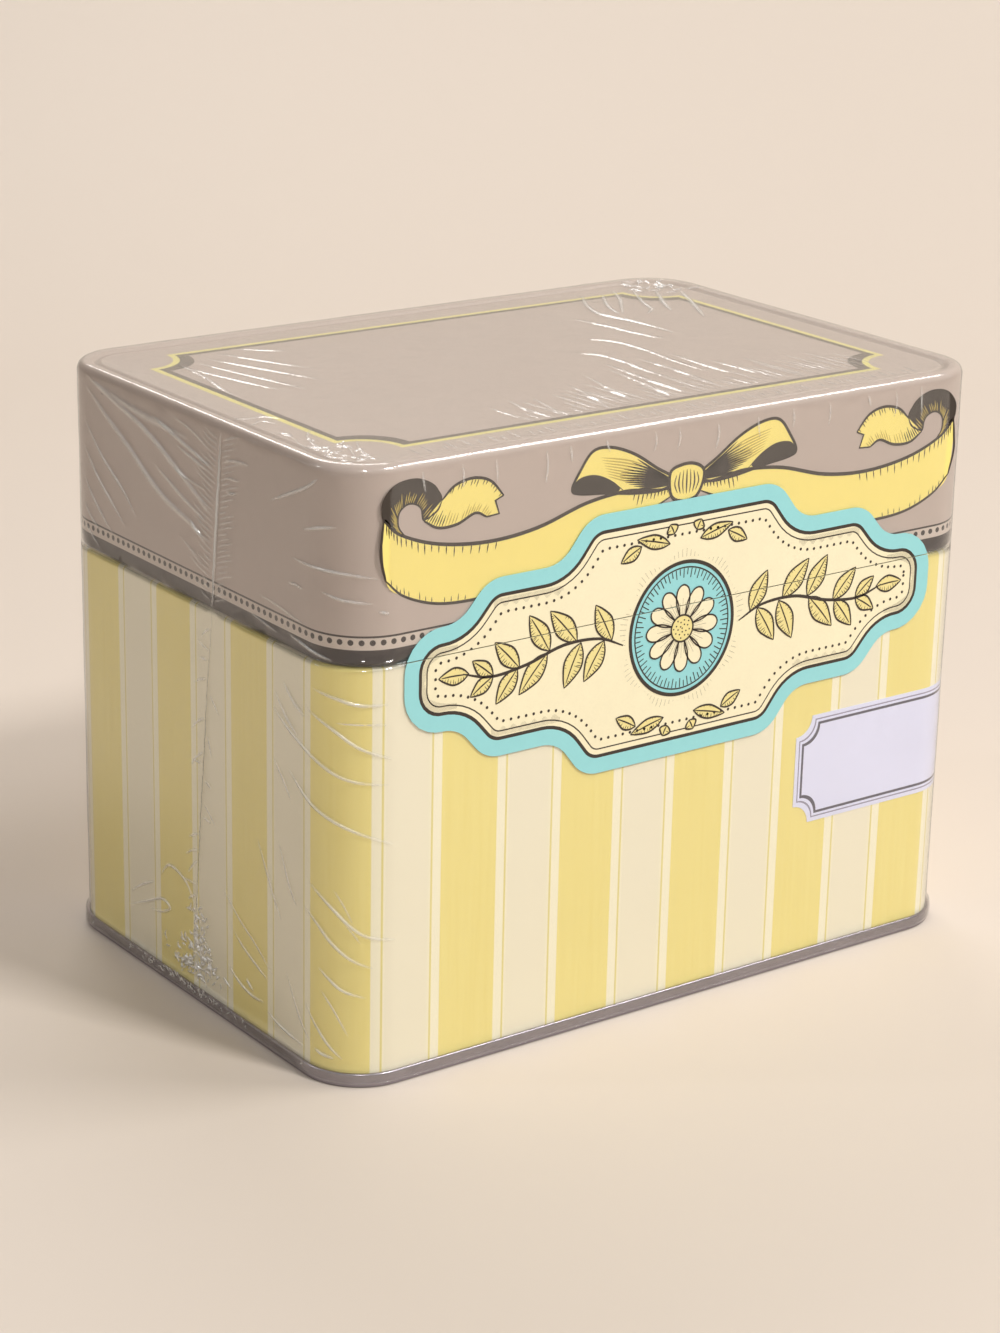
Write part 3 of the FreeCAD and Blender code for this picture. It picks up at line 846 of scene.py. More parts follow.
def film_wall(place, t):
    """Point on the film: distance round, and height t that goes on over the lid's edge."""
    if t <= film_arc:
        flare = ring_off * eased((ring_top - t) / ring_flare)
        return wall_spot(place, t, film_mid + flare)
    turn = (t - film_arc) / film_bend
    if turn < math.pi / 2:
        off = film_mid - film_bend + film_bend * math.cos(turn)
        spot = wall_spot(place, film_arc + film_bend * math.sin(turn), off)
    else:
        inset = t - film_arc - film_bend * math.pi / 2
        sag = film_sag * eased(inset / film_sag_reach)
        spot = wall_spot(place, film_top - sag, film_mid - film_bend - inset)
    spot.z = min(spot.z, ceiling)
    return spot


def film_panel(x, y):
    """Point on the film over the lid's panel."""
    out_x, out_y = abs(x) - core_x, abs(y) - core_y
    edge = corner_radius + film_mid - film_bend
    if out_x > 0 or out_y > 0:
        inset = edge - math.hypot(max(out_x, 0), max(out_y, 0))
    else:
        inset = edge + min(-out_x, -out_y)
    return Vector((x, y, min(film_top - film_sag * eased(inset / film_sag_reach), ceiling)))


def film_grid(name, columns, rows, spot):
    bpy.ops.mesh.primitive_grid_add(x_subdivisions=len(columns) - 1, y_subdivisions=len(rows) - 1, size=1)
    piece = bpy.context.object
    piece.name = name
    for vertex in piece.data.vertices:
        column = columns[round((vertex.co.x + 0.5) * (len(columns) - 1))]
        row = rows[round((vertex.co.y + 0.5) * (len(rows) - 1))]
        vertex.co = spot(column, row)
    return piece


def spread_even(start, stop, count):
    return [start + (stop - start) * i / count for i in range(count + 1)]


def columns_round():
    """Places of the film's columns, the corners finer than the sides, once round from the back's middle."""
    marks = [0]
    for length, count in ((core_x, 44), (quarter, 14), (2 * core_y, 54), (quarter, 14), (2 * core_x, 88),
                          (quarter, 14), (2 * core_y, 54), (quarter, 14), (core_x, 44)):
        marks += spread_even(marks[-1], marks[-1] + length, count)[1:]
    return [mark - girth / 2 for mark in marks]


def back_cut(place):
    return film_back_cut * eased((abs(place) - film_back_place) / (2 * mm))


def ripple(piece, amount, seed):
    """Slackness: long shallow waves, outwards on the walls and inwards on top."""
    mesh = piece.data
    normals = [vertex.normal.copy() for vertex in mesh.vertices]
    for vertex, normal in zip(mesh.vertices, normals):
        wave = noise.noise(vertex.co * 55 + seed) + 0.5 * noise.noise(vertex.co * 130 + seed)
        lift = amount * (wave + 0.35)
        if normal.z > 0.2:
            drawn = noise.noise(Vector((vertex.co.x * 170, vertex.co.y * 24, 0)) + seed)
            lift = amount * (0.8 * (wave - 1.0) + 0.6 * drawn)
        room = eased((vertex.co.z - slack_start) / slack_start)
        vertex.co += normal * lift * room


def crease_samples(runs):
    """Spots close together along every crease: place, half width, height, and whiteness."""
    samples = []
    for number, (spot, points, width, height, white) in enumerate(runs):
        line = soft(points, fine=8)
        last = len(line) - 1
        for i, (a, b) in enumerate(zip(line, line[1:])):
            steps = max(int((b - a).length / 0.22), 1)
            for k in range(steps):
                at = a.lerp(b, k / steps)
                swell = max(math.sin(math.pi * (i + k / steps) / last), 0.02) ** 0.5
                samples.append((spot(at.x * mm, at.y * mm), width * mm / 2 * swell ** 0.5,
                                height * mm * swell, white * swell, number))
    return samples


def crease(piece, runs):
    """Cuts the sheet finer along its creases and lifts it there; records how white each point is."""
    samples = crease_samples(runs)
    near = kdtree.KDTree(len(samples))
    for number, sample in enumerate(samples):
        near.insert(sample[0], number)
    near.balance()
    for reach, cuts in ((1.5 * mm, 2), (0.75 * mm, 1)):
        edit(piece)
        pick(piece, "faces", lambda f: near.find(f.calc_center_median())[2] < reach)
        bpy.ops.mesh.subdivide(number_cuts=cuts)
        leave()
    mesh = piece.data
    white = mesh.attributes.new("whiteness", "FLOAT", "POINT")
    normals = [vertex.normal.copy() for vertex in mesh.vertices]
    for vertex, normal in zip(mesh.vertices, normals):
        best = {}
        for _, number, gap in near.find_range(vertex.co, crease_reach):
            _, half, height, whiteness, run = samples[number]
            if gap < half:
                share = 0.5 * math.cos(math.pi / 2 * gap / half) ** 2 + 0.5 * (1 - gap / half) ** 1.5
                if share * height > best.get(run, (0, 0))[0]:
                    best[run] = (share * height, share * whiteness)
        lift = min(sum(value[0] for value in best.values()), crease_limit)
        strain = sum(value[1] for value in best.values())
        white.data[vertex.index].value = max(min(strain, whitest), -whitest)
        if vertex.co.z < ring_top:
            lift = -0.25 * lift
        vertex.co += normal * lift
        vertex.co.z = min(vertex.co.z, ceiling)


def seal_place(z):
    return (seal_foot + seal_lean * z) / mm


# a fold is its line of (distance round, height), its width and its rise, all in millimetres
body_folds = [
    ([(-89.4, 84.8), (-84, 83.7), (-79, 82.6), (-73.5, 82.6)], 0.9, 0.3),
    ([(-91.5, 80.4), (-85, 77.4), (-79, 73.6), (-72.5, 71.0)], 0.9, 0.32),
    ([(-84, 78.6), (-79, 78.6), (-73, 78.4)], 0.5, 0.12),
    ([(-104.5, 77.0), (-98, 73.6), (-90, 70.6), (-82, 67.0), (-73, 65.6)], 0.9, 0.32),
    ([(-98.0, 65.2), (-92, 61.4), (-84, 57.6), (-72, 52.8)], 0.95, 0.34),
    ([(-90.4, 43.2), (-87.3, 41.3), (-83.8, 38.4), (-80.4, 35.2), (-77.1, 33.2), (-71.5, 32.0)], 0.95, 0.36),
    ([(-92.1, 37.7), (-88.2, 35.0), (-84.6, 31.4), (-80.7, 28.3), (-76.0, 26.2)], 0.9, 0.34),
    ([(-87.7, 25.4), (-85.0, 23.2), (-82.2, 21.2), (-77.5, 19.8)], 0.85, 0.3),
    ([(-87.2, 20.6), (-84.2, 16.8), (-81.0, 11.1)], 0.6, 0.2),
    ([(-91.7, 16.1), (-88.2, 12.0), (-85.0, 8.3), (-82.2, 5.9)], 0.8, 0.3),
    ([(-88.7, 6.9), (-86.7, 6.2), (-84.0, 5.8)], 1.0, 0.4),
    ([(-84.3, 43.2), (-82.3, 40.3), (-80.0, 35.7)], 0.5, 0.18),
    ([(-81.9, 35.9), (-80.5, 34.4), (-78.5, 31.6)], 0.5, 0.15),
    ([(-119.9, 21.8), (-115.4, 19.2), (-109.6, 16.8), (-106.3, 15.5)], 0.8, 0.25),
    ([(-124.0, 30.0), (-117.0, 25.0), (-110.5, 21.5), (-104.0, 17.0)], 0.7, 0.15),
    ([(-122.2, 13.3), (-117.8, 10.9), (-112.6, 9.6), (-107.5, 9.8)], 0.9, 0.3),
    ([(-106.4, 8.4), (-102.4, 7.2), (-97.4, 6.4), (-92.0, 6.0)], 0.8, 0.3),
    ([(-114.8, 12.7), (-111.8, 10.8)], 0.9, 0.35),
    ([(-164.1, 11.9), (-155.8, 15.6), (-149.5, 18.4), (-146.0, 17.4), (-150.0, 15.2), (-154.5, 14.4)],
     0.9, 0.3),
    ([(-163.0, 15.6), (-158, 18.8), (-153.0, 21.2)], 0.8, 0.2),
    ([(-150.0, 24.0), (-146.0, 27.5), (-139.0, 26.0), (-135.6, 21.5)], 0.9, 0.25),
    ([(-100.0, 83.0), (-96.0, 79.8), (-92.0, 78.0)], 1.2, 0.12),
    ([(-103.0, 80.0), (-99.0, 76.0), (-94.5, 73.0)], 1.2, 0.12),
    ([(-104.0, 66.0), (-100.0, 62.0), (-97.0, 58.4)], 0.8, 0.12),
    ([(-110.0, 46.0), (-105.0, 37.0), (-101.0, 31.0)], 0.8, 0.12),
    ([(-102.0, 48.0), (-98.0, 40.0), (-95.0, 36.0)], 0.8, 0.12),
    ([(-99.0, 20.0), (-94.0, 12.0), (-90.0, 8.0)], 0.7, 0.15),
]
lid_folds = [
    ([(-177.9, 129.3), (-169.0, 126.8), (-154.8, 123.2), (-142.9, 118.5), (-131.4, 113.0), (-127.6, 111.4)],
     2.0, 0.35),
    ([(-178.5, 126.9), (-170.3, 122.3), (-160.1, 117.2), (-152.1, 112.7), (-145.2, 109.7), (-135.4, 107.0),
      (-129.6, 104.2)], 2.2, 0.4),
    ([(-150.7, 126.6), (-142.8, 124.6), (-133.1, 122.3), (-126.5, 120.8)], 1.5, 0.35),
    ([(-176.0, 128.6), (-162.0, 126.6), (-148.0, 125.4), (-136.0, 124.8)], 2.4, 0.2),
    ([(-179.7, 119.7), (-172.8, 113.2), (-163.5, 107.4), (-158.0, 102.8)], 1.1, 0.35),
    ([(-180.0, 113.7), (-175.1, 108.4), (-167.9, 103.1), (-162.8, 99.5)], 1.1, 0.35),
    ([(-180.3, 107.1), (-177.4, 103.5), (-172.3, 99.3), (-168.1, 96.6)], 1.0, 0.3),
    ([(-180.7, 101.1), (-177.7, 98.0), (-173.5, 95.8)], 0.9, 0.3),
    ([(-180.4, 96.5), (-177.5, 94.0), (-174.0, 92.0)], 0.9, 0.25),
    ([(-141.7, 128.2), (-134.9, 127.0), (-129.2, 125.2)], 0.8, 0.2),
    ([(-140.9, 122.6), (-133.2, 120.8), (-128.4, 119.9)], 1.1, 0.3),
    ([(-146.0, 118.5), (-137.0, 116.4), (-129.0, 115.6)], 0.9, 0.2),
    ([(-150.0, 116.4), (-140.0, 112.4), (-129.5, 108.8)], 1.4, 0.25),
    ([(-136.3, 108.2), (-133.0, 106.2), (-129.6, 104.7)], 0.9, 0.3),
    ([(-140.0, 103.4), (-135.0, 101.4), (-130.8, 100.0)], 0.8, 0.2),
    ([(-121.7, 123.6), (-117.0, 124.4), (-112.5, 124.6)], 1.1, 0.3),
    ([(-120.8, 120.1), (-116.2, 120.5)], 0.9, 0.25),
    ([(-121.5, 117.2), (-117.4, 117.4)], 0.8, 0.22),
    ([(-104.4, 119.6), (-98.1, 122.3), (-91.6, 125.2), (-88.1, 127.6)], 1.2, 0.25),
    ([(-92.8, 116.5), (-88.0, 117.8), (-83.9, 118.6)], 0.9, 0.22),
    ([(-96.6, 109.8), (-91.5, 109.7), (-86.5, 109.6), (-81.4, 109.3), (-75.6, 108.5)], 0.85, 0.34),
    ([(-98.2, 104.2), (-95.4, 104.5), (-92.8, 104.2)], 0.9, 0.2),
    ([(-87.4, 105.2), (-84.0, 104.3), (-81.4, 103.9), (-76.5, 103.5)], 0.8, 0.34),
    ([(-75.6, 101.8), (-73.4, 101.3)], 0.8, 0.3),
    ([(-109.0, 98.8), (-102.7, 98.5), (-96.8, 97.6), (-92.8, 97.2)], 0.9, 0.15),
    ([(-97.5, 93.6), (-93.0, 93.0), (-88.8, 92.2), (-84.5, 91.4)], 1.0, 0.3),
    ([(-112.0, 94.2), (-107.0, 93.4), (-102.0, 92.8)], 0.8, 0.25),
]
# on top, its line is of (x, y)
panel_folds = [
    ([(-82.0, -11.6), (-78.0, -12.4), (-74.1, -12.1), (-71.8, -15.8)], 1.0, 0.2),
    ([(-81.0, -18.2), (-76.5, -15.1), (-74.7, -18.6)], 1.0, 0.2),
    ([(-71.0, -25.3), (-75.2, -30.1), (-77.8, -37.7), (-77.4, -44.0)], 1.0, 0.3),
    ([(-73.0, -37.3), (-73.0, -41.6), (-75.9, -48.8)], 0.9, 0.3),
    ([(-68.7, -37.7), (-71.8, -44.1), (-73.3, -50.8)], 0.9, 0.3),
    ([(-78.0, -30.0), (-80.0, -35.0), (-80.4, -40.0)], 0.9, 0.2),
    ([(-66.4, 33.3), (-63.2, 18.7), (-59.0, 4.0)], 1.6, 0.22),
    ([(-62.0, 35.0), (-58.4, 20.0), (-54.0, 2.0)], 1.6, 0.22),
    ([(-58.6, 37.7), (-52.6, 22.4), (-47.0, 8.2)], 1.8, 0.22),
    ([(-54.0, 40.3), (-48.6, 29.0), (-43.2, 18.0)], 1.8, 0.2),
    ([(-48.6, 42.8), (-43.9, 38.0), (-39.2, 34.1)], 1.6, 0.15),
    ([(-65.9, 35.5), (-66.9, 24.6), (-69.0, 13.4), (-70.3, 4.4)], 1.4, 0.3),
    ([(34.2, 27.9), (36.2, 18.7), (37.7, 8.7), (39.9, 0.6)], 2.6, 0.35),
    ([(24.4, 9.6), (28.4, 4.2), (29.2, -5.0), (28.0, -17.9), (28.5, -29.3)], 2.2, 0.35),
    ([(14.3, -0.6), (17.4, -4.4), (18.0, -11.9), (17.3, -22.2), (17.7, -33.5)], 2.0, 0.35),
    ([(11.1, -14.6), (9.9, -26.6), (8.3, -38.3), (7.6, -42.0)], 1.8, 0.3),
    ([(13.3, -11.7), (12.5, -24.7), (12.0, -40.6)], 1.8, 0.3),
    ([(3.2, -17.3), (0.5, -28.6), (-1.0, -36.5), (-2.3, -42.1)], 1.7, 0.28),
    ([(-5.0, -22.0), (-7.5, -34.9), (-9.9, -43.5)], 1.6, 0.25),
    ([(-23.8, -27.0), (-25.0, -33.0), (-26.2, -39.5)], 1.4, 0.2),
    ([(-18.3, -27.9), (-20.0, -36.0), (-21.7, -42.0)], 1.4, 0.2),
    ([(31.7, -11.4), (31.2, -22.3), (31.9, -33.5)], 1.8, 0.3),
    ([(35.4, -20.4), (36.0, -28.5), (36.8, -36.5)], 1.6, 0.28),
    ([(37.1, -28.0), (38.3, -41.5)], 1.4, 0.25),
    ([(22.6, -12.0), (23.0, -24.0), (22.4, -38.0)], 1.8, 0.3),
    ([(43.0, -22.0), (43.6, -32.0), (44.4, -42.0)], 1.4, 0.22),
    ([(50.0, -30.0), (50.6, -36.0), (51.6, -43.0)], 1.3, 0.2),
]
far_corner_folds = [
    ([(51.8, 47.1), (46.4, 38.4), (43.1, 30.2), (43.3, 25.0), (44.7, 19.2), (45.6, 11.3), (45.7, 3.9)],
     1.8, 0.35),
    ([(56.7, 45.5), (49.6, 34.0), (46.7, 25.5)], 1.4, 0.35),
    ([(61.7, 47.9), (57.5, 40.0), (54.9, 36.0), (47.1, 25.3)], 1.3, 0.3),
    ([(67.0, 47.5), (59.5, 33.3), (57.0, 27.0), (52.8, 23.1)], 1.4, 0.3),
    ([(70.7, 42.6), (63.7, 30.8), (59.8, 22.8)], 1.6, 0.3),
    ([(75.8, 39.6), (69.6, 27.3), (62.2, 13.8)], 1.8, 0.3),
]
foot_crumple = []
corner_crumple = []
chance = random.Random(11)


def short_fold(middle, low, high, bend):
    """Line of a short bent fold that lies any way round about its middle."""
    turn = chance.uniform(0, math.pi)
    step = Vector((math.cos(turn), math.sin(turn))) * chance.uniform(low, high)
    bow_out = Vector((-step.y, step.x)) * chance.uniform(-bend, bend)
    return [tuple(middle - step), tuple(middle + bow_out), tuple(middle + step)]


# faint pulls down the front of the lid from its bead
for i in range(15):
    place = -66 + 9.4 * i + chance.uniform(-2.5, 2.5)
    foot = chance.uniform(121.5, 126.5)
    drift = chance.uniform(-0.6, 1.0)
    lid_folds.append(([(place, 129.0), (place + 0.3, (129 + foot) / 2), (place + drift, foot)], 0.6, 0.12))
# gathers over the front bead
for i in range(44):
    place = -64 + 3.05 * i + chance.uniform(-1.0, 1.0)
    reach = chance.uniform(-49.5, -46.5)
    corner_crumple.append(([(place, -53.4), (place + 0.5, -51.2), (place + 1.2, reach)], 0.7, 0.16))
# fine folds on the panel behind the frame's front line
for i in range(42):
    x = -31 + 2.3 * i + chance.uniform(-0.8, 0.8)
    reach = chance.uniform(5, 20)
    panel_folds.append(([(x - reach * 0.04, -43.5 + reach), (x, -43.5 + reach / 2), (x + 0.5, -43.5)],
                        chance.uniform(0.8, 1.7), chance.uniform(0.1, 0.22)))
# crumples at the far right corner
for i in range(26):
    middle = Vector((min(chance.gauss(73, 3.5), 80), min(chance.gauss(46, 4), 53)))
    far_corner_folds.append((short_fold(middle, 0.8, 2.6, 0.4), 1.0, 0.3))
# gathers on both sides of the seal, on the lid and then on the wall
for i in range(30):
    z = 92.6 + 1.2 * i
    start = seal_place(z * mm)
    left = chance.uniform(3.5, 9.5)
    right = chance.uniform(3.0, 7.5)
    lid_folds.append(([(start - 0.7, z), (start - 0.7 - left / 2, z + left * 0.12),
                       (start - 0.7 - left, z + left * 0.3)], 0.65, chance.uniform(0.14, 0.3)))
    lid_folds.append(([(start + 0.7, z), (start + 0.7 + right / 2, z + right * 0.2),
                       (start + 0.7 + right, z + right * 0.36)], 0.65, chance.uniform(0.14, 0.3)))
for i in range(20):
    z = 12 + 3.9 * i + chance.uniform(-1.2, 1.2)
    start = seal_place(z * mm)
    side = chance.choice((-1, 1))
    reach = chance.uniform(1.5, 6.0)
    drop = chance.uniform(-1.6, 0.4)
    body_folds.append(([(start + side * 0.6, z), (start + side * (0.6 + reach / 2), z + drop * 1.2),
                        (start + side * (0.6 + reach), z + drop * 3)], 0.7, chance.uniform(0.08, 0.2)))
# melted clump at the foot of the seal
for i in range(130):
    z = 5.6 + abs(chance.gauss(0, 7.5))
    place = chance.gauss(seal_place(z * mm) + 0.8, 1.7 + 0.5 * max(16 - z, 0))
    line = short_fold(Vector((place, z)), 0.4, 1.8, 0.7)
    foot_crumple.append((line, chance.uniform(0.45, 0.8), chance.uniform(0.2, 0.5)))
# film drawn in over the ring
for i in range(60):
    place = chance.gauss(-136, 14)
    z = chance.uniform(1.3, 3.0)
    foot_crumple.append(([(place, z), (place + chance.uniform(-1.2, 1.2), z + 0.6),
                          (place + chance.uniform(-2, 2), min(z + chance.uniform(0.4, 1.4), 3.1))],
                         0.4, 0.02))
# crumples at the near left corner of the top
for i in range(34):
    middle = Vector((max(chance.gauss(-76.0, 3.0), -79.0), max(chance.gauss(-44.0, 7.0), -51.0)))
    corner_crumple.append((short_fold(middle, 0.8, 2.4, 0.6), 0.7, 0.25))


film_index = 1.5
film_haze = 0.006
crease_haze = 0.17
most_haze = 0.6
crease_glint = 0.22
most_glint = 0.5
film_white = (0.98, 0.97, 0.94)
# colour of the painted shade along the seal's line
seal_painted_shade = (0.2, 0.15, 0.09)


def clear_film(name, roughness, wrinkle):
    """Thin clear sheet: reflects as its Fresnel term says at either face and passes the rest."""
    material, tree, shader = finish(name, (1, 1, 1), roughness)
    tree.nodes.remove(shader)
    output = tree.nodes["Material Output"]
    through = tree.nodes.new("ShaderNodeBsdfTransparent")
    milky = tree.nodes.new("ShaderNodeBsdfDiffuse")
    gloss = tree.nodes.new("ShaderNodeBsdfGlossy")
    gloss.inputs["Roughness"].default_value = roughness
    bump = tree.nodes.new("ShaderNodeBump")
    bump.inputs["Distance"].default_value = wrinkle
    fine = grain(tree, 120.0, 1.0)
    join(tree, fine["Height"], bump.inputs["Height"])
    for layer in (gloss, milky):
        join(tree, bump.outputs["Normal"], layer.inputs["Normal"])
    fresnel = tree.nodes.new("ShaderNodeFresnel")
    facing = tree.nodes.new("ShaderNodeNewGeometry")
    ior = calc(tree, "MULTIPLY_ADD", facing.outputs["Backfacing"], 1 / film_index - film_index, film_index)
    join(tree, ior, fresnel.inputs["IOR"])
    join(tree, bump.outputs["Normal"], fresnel.inputs["Normal"])
    strained = tree.nodes.new("ShaderNodeAttribute")
    strained.attribute_name = "whiteness"
    white = calc(tree, "MAXIMUM", strained.outputs["Fac"], 0.0)
    # negative whiteness is painted shade: it tints the film's haze brown along the seal's line
    painted_shade_share = calc(tree, "MAXIMUM", calc(tree, "MULTIPLY", strained.outputs["Fac"], -1.0), 0.0)
    tint = blend_colours(tree, calc(tree, "MINIMUM", painted_shade_share, 1.0), film_white, seal_painted_shade)
    join(tree, tint, milky.inputs["Color"])
    haze = calc(tree, "MULTIPLY_ADD", calc(tree, "ADD", white, painted_shade_share), crease_haze, film_haze)
    haze = calc(tree, "MINIMUM", haze, most_haze)
    satin = tree.nodes.new("ShaderNodeBsdfGlossy")
    satin.inputs["Roughness"].default_value = 0.4
    join(tree, bump.outputs["Normal"], satin.inputs["Normal"])
    glint = calc(tree, "MINIMUM", calc(tree, "MULTIPLY", white, crease_glint), most_glint)
    surface = through
    for share, layer in ((haze, milky), (glint, satin), (fresnel.outputs[0], gloss)):
        mix = tree.nodes.new("ShaderNodeMixShader")
        join(tree, share, mix.inputs["Fac"])
        join(tree, surface.outputs[0], mix.inputs[1])
        join(tree, layer.outputs[0], mix.inputs[2])
        surface = mix
    join(tree, surface.outputs[0], output.inputs["Surface"])
    return material


film_sheet = clear_film("film_sheet", 0.06, 0.0002)


def finish_film(piece, runs, seal_z, white, amount, seed):
    """Merges the sheet, lays its creases and its seal in it, and gives it its thickness."""
    edit(piece)
    bpy.ops.mesh.select_all(action="SELECT")
    bpy.ops.mesh.remove_doubles(threshold=0.01 * mm)
    bpy.ops.mesh.normals_make_consistent(inside=False)
    leave()
    low, high = seal_z
    count = int((high - low) / seam_step)
    seam = []
    for i in range(count + 1):
        z = low + (high - low) * i / count
        seam.append((seal_place(z) + chance.uniform(-0.12, 0.12), z / mm))
    runs = runs + [(film_wall, seam, 1.1, 0.42, white)]
    # where the seal is clear, a dark line of painted shade runs beside it, as a brown haze in the film
    if white < 1:
        runs.append((film_wall, [(place - 0.1, z) for place, z in seam[4:]], 0.75, 0.02, -3.2))
    ripple(piece, amount, seed)
    crease(piece, runs)
    triangles = sum(len(face.vertices) - 2 for face in piece.data.polygons)
    apply_modifier(piece, "DECIMATE", ratio=min(1.0, film_triangles / triangles))
    for vertex in piece.data.vertices:
        vertex.co.z = min(vertex.co.z, ceiling)
    apply_modifier(piece, "SOLIDIFY", thickness=film_thickness, offset=0)
    for face in piece.data.polygons:
        face.use_smooth = True
    coat(piece, film_sheet)


places = columns_round()
lower_rows = spread_even(0, 1, 62)
film_low = film_grid("film_lower_shrunk", places, lower_rows, lambda place, row: film_wall(
    place, film_lower_low + (film_lower_high - back_cut(place) - film_lower_low) * row ** 1.15))
runs = [(film_wall, points, width * 1.25, height * 1.2, 1.5) for points, width, height in body_folds]
runs += [(film_wall, *fold, 3.0) for fold in foot_crumple]
finish_film(film_low, runs, (6 * mm, film_lower_high), 0.3, 0.1 * mm, Vector((3, 1, 7)))
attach(film_low, "box")
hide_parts("film_lower")

# rows up to 1 are shares of the lid's wall; a row past it is a height with over_edge added
over_edge = 10
upper_rows = spread_even(0, 1, 26)
over_rows = spread_even(film_arc, film_arc + film_bend * math.pi / 2, 6)[1:]
over_rows += spread_even(over_rows[-1], over_rows[-1] + corner_radius + film_mid - film_bend, 8)[1:]


def upper_spot(place, row):
    if row <= 1:
        low = film_upper_low + back_cut(place)
        return film_wall(place, low + (film_arc - low) * row)
    return film_wall(place, row - over_edge)


upper_rows += [row + over_edge for row in over_rows]
film_up = film_grid("film_upper_shrunk", places, upper_rows, upper_spot)
panel_columns = spread_even(-core_x, core_x, 88)
panel_rows = spread_even(-core_y, core_y, 54)
panel = film_grid("film_panel", panel_columns, panel_rows, film_panel)
only(film_up)
panel.select_set(True)
bpy.ops.object.join()
runs = [(film_wall, *fold, 1.7 if fold[0][0][0] > -105 else 0.9) for fold in lid_folds]
runs += [(film_panel, *fold, 0.6) for fold in panel_folds]
runs += [(film_panel, *fold, 1.2) for fold in corner_crumple]
runs += [(film_panel, *fold, 1.7) for fold in far_corner_folds]
finish_film(film_up, runs, (film_upper_low, 129 * mm), 3.0, 0.08 * mm, Vector((5, 9, 2)))
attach(film_up, "lid")
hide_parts("film_upper")

# Sticker
# A die-cut paper sticker on the film, across the lid's edge and slit along it: a cream
# plaque inside a turquoise margin, with an engraved rosette and leafy sprigs.
sticker_z = 85.5 * mm
sticker_back = 0.30 * mm
sticker_front = sticker_back + paper
sticker_corners = [(70, 11, 9.0), (57, 11, 8), (50, 19, 8), (32, 19, 8), (25, 28, 8)]


def rounded(corners):
    """Outline through corners of (x, z, radius), each rounded by an arc."""
    spots = []
    for i, (x, z, radius) in enumerate(corners):
        here = Vector((x, z))
        before = (Vector(corners[i - 1][:2]) - here).normalized()
        after = (Vector(corners[(i + 1) % len(corners)][:2]) - here).normalized()
        half = before.angle(after) / 2
        centre = here + (before + after).normalized() * radius / math.sin(half)
        start, stop = here + before * radius / math.tan(half), here + after * radius / math.tan(half)
        for k in range(8):
            spots.append(centre + (start.lerp(stop, k / 7) - centre).normalized() * radius)
    return spots


def plaque(margin):
    """The sticker's outline, or a line a margin inside it."""
    shifted = []
    for i, (x, z, radius) in enumerate(sticker_corners):
        here = Vector((x, z))
        before = here - Vector(sticker_corners[i - 1][:2] if i else (x, -z))
        after = Vector(sticker_corners[i + 1][:2] if i < len(sticker_corners) - 1 else (-x, z)) - here
        in_a = Vector((-before.y, before.x)).normalized()
        in_b = Vector((-after.y, after.x)).normalized()
        moved = here + (in_a + in_b) * margin / (1 + in_a.dot(in_b))
        hollow = before.x * after.y - before.y * after.x < 0
        shifted.append((moved.x, moved.y, radius + margin if hollow else max(radius - margin, 1.2)))
    upper_half = shifted + [(-x, z, radius) for x, z, radius in reversed(shifted)]
    whole = upper_half + [(-x, -z, radius) for x, z, radius in upper_half]
    return [(x * mm, z * mm + sticker_z) for x, z in rounded(whole)]


turquoise = ink_on_paper("sticker_turquoise", colour(150, 214, 217), 0.5, 0.06)
plaque_cream = ink_on_paper("plaque_cream", colour(243, 233, 198), 0.5, 0.08)
leaf_ink = ink_on_paper("leaf_straw", colour(236, 220, 150), 0.5, 0.08)
sticker_rings = [plaque(margin) for margin in (0, 3.4, 4.15, 5.2, 5.5)]
sticker_sheet = cut_sheet("sticker_printed", sticker_rings, (0, 1, 2, 1, 2))
for vertex in sticker_sheet.data.vertices:
    vertex.co.y -= half_depth + sticker_back
coat(sticker_sheet, turquoise, umber_line, plaque_cream)

art = bmesh.new()
mid_z = sticker_z / mm


def at_z(points):
    return [(x, z + mid_z) for x, z in points]


def leaf(x, z, angle, length, width):
    """A pointed leaf with a midrib, shaded on its lower half."""
    way = Vector((math.cos(math.radians(angle)), math.sin(math.radians(angle))))
    across = Vector((-way.y, way.x))
    root = Vector((x, z + mid_z))

    def on_leaf(along, aside):
        return tuple(root + way * along * length + across * aside * width)

    upper = [on_leaf(0, 0), on_leaf(0.22, 0.36), on_leaf(0.5, 0.5), on_leaf(0.8, 0.26), on_leaf(1, 0)]
    lower = [on_leaf(0, 0), on_leaf(0.22, -0.36), on_leaf(0.5, -0.5), on_leaf(0.8, -0.26), on_leaf(1, 0)]
    for side in (1, -1):
        lay_face(art, [(side * p.x, p.y) for p in soft(upper) + soft(lower)[-2:0:-1]], 2, 2)
    for edge in (upper, lower):
        stroke(art, edge, 0.42, layer=4, tone=0, taper=0.25)
    midrib = [on_leaf(0.02, 0), on_leaf(0.5, 0.03), on_leaf(0.9, 0)]
    stroke(art, midrib, 0.32, layer=4, tone=0, taper=0.3)
    middle = [on_leaf(0, 0), on_leaf(0.5, 0), on_leaf(1, 0)]
    hatch(art, lower, middle, int(length * 1.5), 0.85, width=0.17, layer=3, tone=0, start=0.12, stop=0.92)
    hatch(art, upper, middle, int(length * 0.8), 0.4, width=0.14, layer=3, tone=0, start=0.1, stop=0.6)


